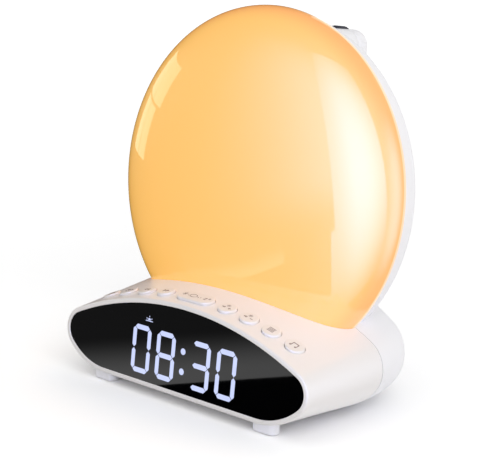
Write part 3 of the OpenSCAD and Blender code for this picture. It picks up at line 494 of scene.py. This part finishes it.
caps = {"size": 10.4, "bar": 25.0, "rise": 1.6, "gap": 0.3, "first": 23.1, "step": 15.4, "deep": 5.0,
        "above": 4.0, "foot": 4.0, "soft": 0.7, "softSteps": 5, "crown": 0.02, "shares": (0.8, 0.55, 0.3),
        "points": 48, "smooth": 40}
capX = [caps["first"] + k * caps["step"] for k in range(4)]
capPlaces = {"alarm_one": -capX[3], "alarm_two": -capX[2], "back": -capX[1], "next": -capX[0], "snooze": 0.0,
             "up": capX[0], "down": capX[1], "menu": capX[2], "sound": capX[3]}


def capLength(name):
    return caps["bar"] if name == "snooze" else caps["size"]


def barRing(x, length, width, height, share=1.0):
    # a ring with round ends that follows the arch
    ring = []
    for k in range(caps["points"]):
        c, s = math.cos(2 * math.pi * k / caps["points"]), math.sin(2 * math.pi * k / caps["points"])
        side = (length - width) / 2 * (1 if c >= 0 else -1)
        across = x + (side + width / 2 * c) * share
        ring.append(rowPoint(across, width / 2 * s * share, archDrop(across) + height))
    return ring


def barEnd(x, height):
    return pointRing(rowPoint(x, 0, archDrop(x) + height), caps["points"])


def capHole(x, length):
    long, wide = length + 2 * caps["gap"], caps["size"] + 2 * caps["gap"]
    low, high = -caps["deep"], caps["above"]
    return ringSurface("hole", [barEnd(x, low), barRing(x, long, wide, low), barRing(x, long, wide, high),
                                barEnd(x, high)])


# Sound holes under the loudspeaker, reach steps from the middle one at most
grille = {"pitch": 3.4, "radius": 0.9, "reach": 4.4, "low": -2, "tall": 12, "sides": 12}


def grilleHoles():
    low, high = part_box("speaker_magnet")
    middleY = (low.y + high.y) / 2 / mm
    steps = range(-int(grille["reach"]), int(grille["reach"]) + 1)
    places = [(i * grille["pitch"], middleY + j * grille["pitch"], grille["low"])
              for i in steps for j in steps if math.hypot(i, j) < grille["reach"]]
    holes = [cylinder(grille["radius"], grille["tall"], grille["sides"], at) for at in places]
    return placeLocal(joined("grille holes", holes), upright)


frontCase = frontHousing()
cut(frontCase, domeSolid("dome room", dome["gap"]))
cut(frontCase, joined("cap holes", [capHole(x, capLength(name)) for name, x in capPlaces.items()]))
cut(frontCase, grilleHoles())
smooth(frontCase, housing["smooth"])
dress(frontCase, "housing_white", "clock", "front_housing")
print("front housing made")

# Buttons: rounded at the edge, and crowned a little, so that the light runs off them


def cap(name, x, length):
    soft, width, rise, low = caps["soft"], caps["size"], caps["rise"], -caps["foot"]
    rings = [barEnd(x, low), barRing(x, length, width, low), barRing(x, length, width, rise - soft)]
    for c, s in quarterTurn(caps["softSteps"]):
        shrink = 2 * soft * (1 - c)
        rings.append(barRing(x, length - shrink, width - shrink, rise - soft + soft * s))
    for share in caps["shares"]:
        height = rise + caps["crown"] * (1 - share)
        rings.append(barRing(x, length - 2 * soft, width - 2 * soft, height, share))
    rings.append(barEnd(x, rise + caps["crown"]))
    made = ringSurface("cap_" + name, rings)
    smooth(made, caps["smooth"])
    return made


for name, x in capPlaces.items():
    dress(cap(name, x, capLength(name)), "button_white", "button_" + name, "button_" + name)
print("buttons made")

# Rear cover: the dish of the disc and the tail of the base in one moulding. over is how far a tool reaches
# past the opening that it makes.

rear = {"radius": 97.6, "depth": 27.0, "power": 4.0, "steps": 32, "crowding": 1.5, "around": 160, "wall": 2.4,
        "dishGap": 0.3, "over": 1.0, "tail": 58.0, "tailPower": 2.5, "risePower": 5.0, "tailMid": 12.0,
        "tailGap": 0.15, "tailSteps": 22, "tailEnd": 0.9995, "smooth": 34}


def dishSolid(name, inset):
    start = rear["over"] if inset else -rear["dishGap"]
    radius, depth = rear["radius"] - inset, rear["depth"] - inset + start
    profile = [(0.0, start)]
    for k in range(rear["steps"] + 1):
        across, down = superPoint(radius, depth, rear["power"], (k / rear["steps"]) ** rear["crowding"])
        profile.append((across, start - down))
    return spun(name, profile, rear["around"])


def tailSolid(name, inset):
    # the seam's outline, drawn in on its way to the tip of the tail
    length = rear["tail"] - inset
    start = rear["over"] if inset else -rear["tailGap"]
    parts = [s for c, s in quarterTurn(rear["tailSteps"], 0)[:-1]] + [rear["tailEnd"]]
    rings = []
    for part in parts:
        wide = (1 - part ** rear["tailPower"]) ** (1 / rear["tailPower"])
        high = (1 - part ** rear["risePower"]) ** (1 / rear["risePower"])
        ring = []
        for x, v in arch(seamShape, -inset):
            up = rear["tailMid"] + (v - rear["tailMid"]) * high
            point = seamPoint(x * wide, up, start if part == 0 else -rear["tailGap"])
            point.y += part * length * mm
            ring.append(point)
        rings.append(ring)
    count = len(rings[0])
    middle = seamPoint(0, layout["archMid"], start)
    tip = rings[-1][0].lerp(rings[-1][count // 2], 0.5)
    return ringSurface(name, [pointRing(middle, count)] + rings + [pointRing(tip, count)])


# Openings of the rear: power inlet, charging port, vents, wells of the case screws, seat of the battery door
ports = {"inletX": 20.0, "chargeX": -8.0, "inletR": 4.3, "charge": (14.4, 7.0), "y": 53.116, "z": 22.182,
         "inside": 12, "long": 20}
vents = {"count": 9, "pitch": 5.0, "width": 1.6, "low": -25.0, "long": 22.0, "outside": 2, "inside": 6}
wells = {"x": 75.6, "up": 28.4, "radius": 3.2, "back": -66, "long": 60}
doorSeat = {"radius": 12.5, "low": -2, "tall": 8}
holeSides = 32


def atPort(middleX):
    return lambda x, y, z: Vector((middleX + x, ports["y"] - ports["inside"] + z, ports["z"] + y)) * mm


def rearOpenings():
    wide, high = (size / 2 for size in ports["charge"])
    holes = [placeLocal(cylinder(ports["inletR"], ports["long"], holeSides), atPort(ports["inletX"])),
             placeLocal(block((-wide, -high, 0), (wide, high, ports["long"])), atPort(ports["chargeX"]))]
    half, ventLow, ventHigh = vents["width"] / 2, vents["low"], vents["low"] + vents["long"]
    behind, inside = -rear["depth"] - vents["outside"], -rear["depth"] + vents["inside"]
    for i in range(vents["count"]):
        x = (i - (vents["count"] - 1) / 2) * vents["pitch"]
        holes.append(discBlock((x - half, ventLow, behind), (x + half, ventHigh, inside)))
    for side in (-1, 1):
        at = (side * wells["x"], wells["up"], wells["back"])
        holes.append(placeLocal(cylinder(wells["radius"], wells["long"], holeSides, at), seamPoint))
    doorLow, doorHigh = (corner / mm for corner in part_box("battery_door"))
    doorMid = (doorLow + doorHigh) / 2
    at = (doorMid.x, doorMid.y, doorSeat["low"])
    holes.append(placeLocal(cylinder(doorSeat["radius"], doorSeat["tall"], 2 * holeSides, at), upright))
    for hole in holes:
        editAll(hole, mergeDoubles, faceOutwards)
    return joined("rear openings", holes)


rearCase = dishSolid("rear_case", 0)
cut(rearCase, tailSolid("tail", 0), "UNION")
cut(rearCase, tailSolid("tail room", rear["wall"]))
cut(rearCase, dishSolid("dish room", rear["wall"]))
cut(rearCase, rearOpenings())
smooth(rearCase, rear["smooth"])
dress(rearCase, "cover_white", "clock", "rear_cover")
print("rear cover made")

# Projector pod: a saddle on the dish and a cap, with a fine groove where they meet

pod = {"half": 32.0, "top": 90.0, "high": 36.0, "depth": 47.0, "corner": 9.0, "cornerSteps": 16, "round": 3.5,
       "roundSteps": 6, "root": -9, "axisDepth": 36.9, "axisUp": 81.9, "slotHalf": 20.7, "drumR": 7.8,
       "wheelR": 9.6, "wheelWide": 6.5, "groove": 0.35, "grooveShare": 0.3, "apart": 0.02, "smooth": 30}
# What the tools of the pod leave free, and how far they reach past it
podRoom = {"drum": 0.5, "wheel": 0.4, "lap": 0.01, "deep": 30, "above": 9, "behind": 2, "sides": 64}
podScrews = {"radius": 2.5, "tall": 5, "inset": 7, "behind": 1}


def podRing(inset, out):
    wide, high, corner = pod["half"] - inset, pod["high"] / 2 - inset, pod["corner"] - inset
    middle = pod["top"] - pod["high"] / 2
    points = []
    for sideX, sideUp, start in ((1, 1, 0), (-1, 1, 90), (-1, -1, 180), (1, -1, 270)):
        centreX, centreUp = sideX * (wide - corner), sideUp * (high - corner)
        for k in range(pod["cornerSteps"] + 1):
            turn = math.radians(start + 90 * k / pod["cornerSteps"])
            x, up = centreX + corner * math.cos(turn), middle + centreUp + corner * math.sin(turn)
            points.append(discPoint(x, up, out))
    return points


def podEnd(out):
    return pointRing(discPoint(0, pod["top"] - pod["high"] / 2, out), 4 * (pod["cornerSteps"] + 1))


def alongAxis(radius, low, high):
    # a cylinder on the drum's axis
    made = cylinder(radius, high - low, podRoom["sides"])
    return placeLocal(made, lambda x, y, z: discPoint(low + z, pod["axisUp"] + x, -pod["axisDepth"] + y))


def podRooms():
    # the rooms of the drum and of the wider wheel, both open at the top
    left, up, axis = -pod["slotHalf"], pod["axisUp"], -pod["axisDepth"]
    deep, top = axis - podRoom["deep"], pod["top"] + podRoom["above"]
    drum, wheel = pod["drumR"] + podRoom["drum"], pod["wheelR"] + podRoom["wheel"]
    wheelHigh = pod["slotHalf"]
    wheelLow = wheelHigh - pod["wheelWide"] - 2 * podRoom["wheel"]
    drumHigh = wheelLow + podRoom["lap"]
    return [alongAxis(drum, left, drumHigh), discBlock((left, up, deep), (drumHigh, top, axis + drum)),
            alongAxis(wheel, wheelLow, wheelHigh),
            discBlock((wheelLow, up, deep), (wheelHigh, top, axis + wheel))]


def podShell(name, rings, tools, node):
    shell = ringSurface(name, rings)
    for tool in tools:
        editAll(tool, mergeDoubles, faceOutwards)
        cut(shell, tool)
    smooth(shell, pod["smooth"])
    dress(shell, "cover_white", "clock", node)


split, groove, apart = -pod["axisDepth"], pod["groove"], pod["apart"]
slant = groove * pod["grooveShare"]
podShell("pod_saddle", [podEnd(pod["root"]), podRing(0, pod["root"]), podRing(0, split + groove),
                        podRing(slant, split + slant), podRing(groove, split + apart), podEnd(split + apart)],
         [dishSolid("dish", 0)] + podRooms(), "projector_saddle")

rings = [podEnd(split - apart), podRing(groove, split - apart), podRing(slant, split - slant),
         podRing(0, split - groove)]
for c, s in quarterTurn(pod["roundSteps"], 0):
    rings.append(podRing(pod["round"] * (1 - c), -pod["depth"] + pod["round"] * (1 - s)))
rings.append(podEnd(-pod["depth"]))
slotLow, slotBack = pod["axisUp"] - pod["wheelR"] - podRoom["drum"], -pod["depth"] - podRoom["behind"]
tools = [discBlock((-pod["slotHalf"], slotLow, slotBack),
                   (pod["slotHalf"], pod["top"] + podRoom["above"], split + podRoom["behind"]))]
for side in (-1, 1):
    at = (side * (pod["half"] - podScrews["inset"]), pod["top"] - pod["high"] + podScrews["inset"],
          -pod["depth"] - podScrews["behind"])
    tools.append(placeLocal(cylinder(podScrews["radius"], podScrews["tall"], holeSides, at), discPoint))
podShell("pod_cap", rings, tools, "projector_cap")
print("projector pod made")

# Signs on the caps: pad-printed, as thin as an ink film can be and still show

signs = {"thick": 0.06, "sink": 0.1, "line": 0.42, "fine": 0.3, "hoopPoints": 32}
inkTall = signs["sink"] + signs["thick"]


def onCap(name, parts):
    x, top = capPlaces[name], caps["rise"] + caps["crown"] - signs["sink"]
    made = placeLocal(joined("sign_" + name, parts),
                      lambda dx, dy, dz: rowPoint(x + dx, dy, archDrop(x + dx) + top + dz))
    editAll(made, faceOutwards)
    dress(made, "switch_black", "button_" + name)
    made.data.materials[0] = looks["sign_brown"]


def turnedTo(x0, y0, turn):
    c, s = math.cos(turn), math.sin(turn)
    return lambda x, y, z: (x0 + x * c - y * s, y0 + x * s + y * c, z)


def stroke(x0, y0, x1, y1, width=signs["line"]):
    made = block((0, -width / 2, 0), (math.hypot(x1 - x0, y1 - y0), width / 2, inkTall))
    return placeLocal(made, turnedTo(x0, y0, math.atan2(y1 - y0, x1 - x0)))


def spot(x, y, radius, sides=20):
    return cylinder(radius, inkTall, sides, (x, y, 0))


def hoop(x, y, wide, high):
    turns = [2 * math.pi * k / signs["hoopPoints"] for k in range(signs["hoopPoints"])]
    rings = []
    for inset, z in ((0, 0), (0, inkTall), (signs["line"], inkTall), (signs["line"], 0), (0, 0)):
        reachX, reachY = wide / 2 - inset, high / 2 - inset
        rings.append([Vector((x + reachX * math.cos(turn), y + reachY * math.sin(turn), z))
                      for turn in turns])
    return ringSurface("hoop", rings)


def arrow(x, y, size, way):
    # a triangle that points right for 1 and left for -1
    made = cylinder(size, inkTall, 3)
    tip = made.data.vertices[0].co
    return placeLocal(made, turnedTo(x, y, math.radians(0 if way > 0 else 180) - math.atan2(tip.y, tip.x)))


def ray(x, y, start, end, turn, width):
    c, s = math.cos(turn), math.sin(turn)
    return stroke(x + start * c, y + start * s, x + end * c, y + end * s, width)


def sun(x, y, size):
    turns = [k * math.pi / 4 for k in range(8)]
    return [spot(x, y, size * 0.42)] + [ray(x, y, size * 0.62, size, turn, signs["fine"]) for turn in turns]


def horn(x, y):
    return [arrow(x, y, 0.95, -1), stroke(x - 1.0, y, x - 0.2, y, 0.7),
            stroke(x + 0.9, y - 0.7, x + 0.9, y + 0.7, signs["fine"])]


def clockSign(x, y):
    fine = signs["fine"]
    return [hoop(x, y, 3.4, 3.4), stroke(x, y, x, y + 1.1, fine), stroke(x, y, x + 0.8, y, fine),
            stroke(x - 1.9, y + 1.2, x - 1.2, y + 1.9, 0.4), stroke(x + 1.9, y + 1.2, x + 1.2, y + 1.9, 0.4)]


def zigzag(left, right, low, high, width=signs["line"]):
    return [stroke(left, high, right, high, width), stroke(right, high, left, low, width),
            stroke(left, low, right, low, width)]


# Each drawing in millimetres from the middle of its cap
drawings = {
    "alarm_one": clockSign(-0.6, 0) + [stroke(2.4, -0.9, 2.4, 0.9)],
    "alarm_two": clockSign(-0.8, 0) + [stroke(2.1, -0.9, 2.1, 0.9), stroke(2.9, -0.9, 2.9, 0.9)],
    "back": [arrow(-1.0, 0, 1.5, -1), arrow(1.2, 0, 1.5, -1)],
    "next": [arrow(-1.2, 0, 1.5, 1), arrow(1.0, 0, 1.5, 1)],
    "snooze": sun(-8.2, 0.4, 1.7)
    + [hoop(-1.6, 0, 5.4, 3.6), spot(-5.0, -0.6, 0.4), spot(2.4, -0.8, 0.4), spot(3.8, -0.2, 0.3)]
    + zigzag(6.2, 8.0, -0.9, 0.9) + zigzag(8.8, 10.0, 0.5, 1.6, signs["fine"]),
    "up": horn(-1.9, -0.6) + sun(-0.2, 1.7, 1.25)
    + [stroke(1.2, -0.7, 3.0, -0.7), stroke(2.1, -1.6, 2.1, 0.2)],
    "down": horn(-1.9, -0.6) + sun(-0.2, 1.7, 1.25) + [stroke(1.2, -0.7, 3.0, -0.7)],
    "menu": [stroke(-2.0, dy, 2.0, dy, 0.45) for dy in (1.5, 0.5, -0.5, -1.5)],
    "sound": [spot(-1.9, -1.3, 0.55), spot(1.3, -1.3, 0.55), stroke(-1.5, -1.3, -1.5, 1.6),
              stroke(1.7, -1.3, 1.7, 1.6), stroke(-1.7, 1.5, 1.9, 1.5, 0.6)],
}
for name, parts in drawings.items():
    onCap(name, parts)

# A small lit sun at the top of the screen: half a disc over a line, with three rays
dayMark = {"x": -24.6, "up": 42.9, "size": 2.3, "line": 0.45, "rays": (25, 90, 155), "out": -0.4}


def dayMarkParts(size, line):
    rays = [ray(0, 0, size * 0.72, size * 1.05, math.radians(turn), line) for turn in dayMark["rays"]]
    half = placeLocal(spot(0, 0, size * 0.5, 24), lambda x, y, z: (x, max(y, 0), z))
    return rays + [half, stroke(-size * 1.2, -0.5, size * 1.2, -0.5, line)]


markOut = dayMark["out"] - signs["sink"]
mark = placeLocal(joined("day_mark", dayMarkParts(dayMark["size"], dayMark["line"])),
                  lambda x, y, z: facePoint(dayMark["x"] + x, dayMark["up"] + y, markOut + z))
editAll(mark, mergeDoubles, faceOutwards)
dress(mark, "segments_lit", "clock")
print("signs made")

# Floor, light and background: lift is how far the floor glows to the camera, near and far, between the two
# distances of reach, all in metres

stage = {"floorSize": 6.0, "floorDrop": 0.0002, "floorColour": "#f4f4f4", "lift": (0.32, 0.55),
         "reach": (0.3, 1.6), "contact": 0.09, "contactSamples": 8, "white": "#ffffff", "fill": 0.62}
bpy.ops.object.select_all(action="DESELECT")
bpy.ops.mesh.primitive_plane_add(size=stage["floorSize"], location=(0, 0, -stage["floorDrop"]))
floor = applied(bpy.context.active_object)
floor.name = "floor"
made, tree, output = newMaterial("paperFloor")
path = addNode(tree, "ShaderNodeLightPath")
diffuse = addNode(tree, "ShaderNodeBsdfDiffuse", {"Color": linear(stage["floorColour"])})
lift = addNode(tree, "ShaderNodeEmission", {"Color": linear(stage["white"])})
# the sweep rises to white away from the object, where the lamps no longer reach it
coords = addNode(tree, "ShaderNodeTexCoord")
away = addNode(tree, "ShaderNodeVectorMath", {"operation": "LENGTH"}, {0: (coords, "Object")})
rising = addNode(tree, "ShaderNodeMapRange", {"From Min": stage["reach"][0], "From Max": stage["reach"][1],
                 "To Min": stage["lift"][0], "To Max": stage["lift"][1]}, {"Value": (away, "Value")})
# and is cut by ambient occlusion close to the object, which paints a contact shadow on the floor there
near = addNode(tree, "ShaderNodeAmbientOcclusion", {"samples": stage["contactSamples"],
               "Distance": stage["contact"]})
# the floor's glow times the occlusion: the lift with its painted contact shadow
paintedShadowLift = addNode(tree, "ShaderNodeMath", {"operation": "MULTIPLY"}, {0: (near, "AO"), 1: (rising, 0)})
power = addNode(tree, "ShaderNodeMath", {"operation": "MULTIPLY"},
                {0: (path, "Is Camera Ray"), 1: (paintedShadowLift, 0)})
tree.links.new(power.outputs[0], lift.inputs["Strength"])
both = addNode(tree, "ShaderNodeAddShader", None, {0: (diffuse, 0), 1: (lift, 0)})
# clear from below, so that the bottom can be looked at
side = addNode(tree, "ShaderNodeNewGeometry")
clear = addNode(tree, "ShaderNodeBsdfTransparent")
twoSided = addNode(tree, "ShaderNodeMixShader", None, {0: (side, "Backfacing"), 1: (both, 0), 2: (clear, 0)})
tree.links.new(twoSided.outputs[0], output.inputs[0])
floor.data.materials.append(made)
floor.visible_glossy = False

# White where it is looked at, mirrored or seen through, and weaker where it lights the object
world = bpy.data.worlds.new("studio")
bpy.context.scene.world = world
world.use_nodes = True
tree = world.node_tree
tree.nodes.clear()
output = tree.nodes.new("ShaderNodeOutputWorld")
path = addNode(tree, "ShaderNodeLightPath")
seen = addNode(tree, "ShaderNodeMath", {"operation": "MAXIMUM"},
               {0: (path, "Is Camera Ray"), 1: (path, "Is Glossy Ray")})
seenThrough = addNode(tree, "ShaderNodeMath", {"operation": "MAXIMUM"},
                      {0: (seen, 0), 1: (path, "Is Transmission Ray")})
plain = addNode(tree, "ShaderNodeBackground", {"Color": linear(stage["white"]), "Strength": stage["fill"]})
white = addNode(tree, "ShaderNodeBackground", {"Color": linear(stage["white"]), "Strength": 1.0})
mix = addNode(tree, "ShaderNodeMixShader", None, {0: (seenThrough, 0), 1: (plain, 0), 2: (white, 0)})
tree.links.new(mix.outputs[0], output.inputs[0])

# Each lamp stands at a distance in a direction from a point in the disc: turn 0 is in front, 90 on the right.
# A lamp with a colour is only seen in reflections.
lampAim = (0, 0, 110)
lamps = {
    "keySoftbox": {"turn": 66, "rise": 34, "away": 1300, "size": (900, 900), "shine": 1.9},
    "topSoftbox": {"turn": 0, "rise": 80, "away": 1300, "size": (1100, 900), "shine": 0.2},
    "sideSoftbox": {"turn": 112, "rise": 12, "away": 1400, "size": (900, 900), "shine": 0.8},
    "leftFill": {"turn": -60, "rise": 25, "away": 1500, "size": (900, 900), "shine": 0.35},
}
# Four panes of a window, on the left
panes = {"away": 1000, "high": 187, "shine": 2.0, "colour": "#fff4dc",
         "places": {"paneOne": (-79, 13.6, 200), "paneTwo": (-91, 13.6, 200),
                    "paneThree": (-80.7, 2.3, 141), "paneFour": (-89.6, 2.3, 152)}}
for name, (turn, rise, wide) in panes["places"].items():
    lamps[name] = {"turn": turn, "rise": rise, "away": panes["away"], "size": (wide, panes["high"]),
                   "shine": panes["shine"], "colour": panes["colour"]}


def towards(turn, rise):
    turn, rise = math.radians(turn), math.radians(rise)
    return Vector((math.sin(turn) * math.cos(rise), -math.cos(turn) * math.cos(rise), math.sin(rise)))


for name, lamp in lamps.items():
    way = towards(lamp["turn"], lamp["rise"])
    data = bpy.data.lights.new(name, "AREA")
    data.shape = "RECTANGLE"
    data.size, data.size_y = (s * mm for s in lamp["size"])
    data.energy = lamp["shine"] * math.pi * data.size * data.size_y
    if "colour" in lamp:
        data.color = linear(lamp["colour"])[:3]
    light = bpy.data.objects.new(name, data)
    light.location = Vector(lampAim) * mm + way * lamp["away"] * mm
    light.rotation_euler = (-way).to_track_quat("-Z", "Y").to_euler()
    light.visible_diffuse = "colour" not in lamp
    bpy.context.collection.objects.link(light)

# What is only seen mirrored: a black curtain round the studio, and in front of it glowing cards. The pale
# one's lower edge draws the line across the screen, and the others are the softbox in the dome, its halo and
# the light at its side. A ramp multiplies the glow along one way of the card, by start, end and values there.
mirrored = {"away": 1290, "turns": (-150, 150), "rises": (-60, 45), "around": 96, "high": 48,
            "colour": "#000000"}
cards = {
    "paleCard": {"turn": -42, "away": 260, "at": (37.5, 10), "size": (200, 60), "tilt": 14.4,
                 "colour": "#ffffff",
                 "ramps": (("Y", 0.1, 0.6, 1.3, 0.12),)},
    "haloCard": {"turn": -25, "away": 300, "at": (-41, 314), "size": (340, 620), "tilt": 15.6,
                 "colour": "#bac6ff",
                 "ramps": (("X", 0.1, 0.95, 0, 2.9), ("Y", 0.03, 0.2, 0, 1), ("Y", 0.5, 0.98, 1, 0))},
    "softCard": {"turn": 24, "away": 500, "at": (27, 368), "size": (608, 1590), "tilt": 16.9,
                 "colour": "#bac0ff",
                 "ramps": (("X", 0, 0.35, 6.2, 11), ("X", 0.35, 1, 1, 0.6), ("Y", 0, 0.42, 0.15, 1),
                           ("Y", 0.42, 1, 1, 0.3))},
    "sideCard": {"turn": 92, "away": 800, "at": (0, 100), "size": (1100, 1600), "tilt": 0,
                 "colour": "#d8dcff",
                 "ramps": (("X", 0, 0.5, 0, 5), ("X", 0.5, 1, 1, 0), ("Y", 0, 0.4, 0, 1),
                           ("Y", 0.6, 1, 1, 0))},
}


def onlyMirrored(obj):
    for kind in ("camera", "diffuse", "shadow", "transmission", "volume_scatter"):
        setattr(obj, "visible_" + kind, False)


def curtain():
    # a ball with its back, its top and its bottom left open
    bpy.ops.object.select_all(action="DESELECT")
    bpy.ops.mesh.primitive_uv_sphere_add(segments=mirrored["around"], ring_count=mirrored["high"],
                                         radius=mirrored["away"] * mm)
    obj = bpy.context.active_object
    obj.name = "curtain"
    editAll(obj, lambda: bpy.ops.mesh.select_mode(type="FACE"),
            lambda: bpy.ops.mesh.select_all(action="DESELECT"))
    for face in obj.data.polygons:
        turn = math.degrees(math.atan2(face.center.x, -face.center.y))
        rise = math.degrees(math.asin(face.center.z / face.center.length))
        inside = mirrored["turns"][0] < turn < mirrored["turns"][1] and rise > mirrored["rises"][0]
        face.select = not (inside or rise > mirrored["rises"][1])
    bpy.ops.object.mode_set(mode="EDIT")
    bpy.ops.mesh.delete(type="FACE")
    bpy.ops.mesh.select_mode(type="VERT")
    bpy.ops.object.mode_set(mode="OBJECT")
    made, tree, output = newMaterial("blackCurtain")
    cloth = addNode(tree, "ShaderNodeBsdfDiffuse", {"Color": linear(mirrored["colour"])})
    tree.links.new(cloth.outputs[0], output.inputs[0])
    obj.data.materials.append(made)
    onlyMirrored(obj)


def mirrorCard(name, card):
    bpy.ops.object.select_all(action="DESELECT")
    bpy.ops.mesh.primitive_plane_add(size=1)
    obj = bpy.context.active_object
    obj.name = name
    turn, tilt = math.radians(card["turn"]), math.radians(card["tilt"])
    ahead, across = Vector((math.sin(turn), -math.cos(turn), 0)), Vector((math.cos(turn), math.sin(turn), 0))
    for vertex in obj.data.vertices:
        a, b = vertex.co.x * card["size"][0], vertex.co.y * card["size"][1]
        sideways = card["at"][0] + a * math.cos(tilt) - b * math.sin(tilt)
        upwards = card["at"][1] + a * math.sin(tilt) + b * math.cos(tilt)
        vertex.co = (ahead * card["away"] + across * sideways + Vector((0, 0, upwards))) * mm
    made, tree, output = newMaterial(name + "Paper")
    coords = addNode(tree, "ShaderNodeTexCoord")
    parts = addNode(tree, "ShaderNodeSeparateXYZ", None, {"Vector": (coords, "UV")})
    power = None
    for axis, start, end, atStart, atEnd in card["ramps"]:
        ramp = addNode(tree, "ShaderNodeMapRange", {"From Min": start, "From Max": end, "To Min": atStart,
                       "To Max": atEnd, "interpolation_type": "SMOOTHSTEP"}, {"Value": (parts, axis)})
        if power is not None:
            ramp = addNode(tree, "ShaderNodeMath", {"operation": "MULTIPLY"}, {0: (power, 0), 1: (ramp, 0)})
        power = ramp
    glow = addNode(tree, "ShaderNodeEmission", {"Color": linear(card["colour"])}, {"Strength": (power, 0)})
    tree.links.new(glow.outputs[0], output.inputs[0])
    obj.data.materials.append(made)
    onlyMirrored(obj)


curtain()
for name, card in cards.items():
    mirrorCard(name, card)
bpy.context.scene.view_settings.view_transform = "Standard"
print("stage and lamps placed")
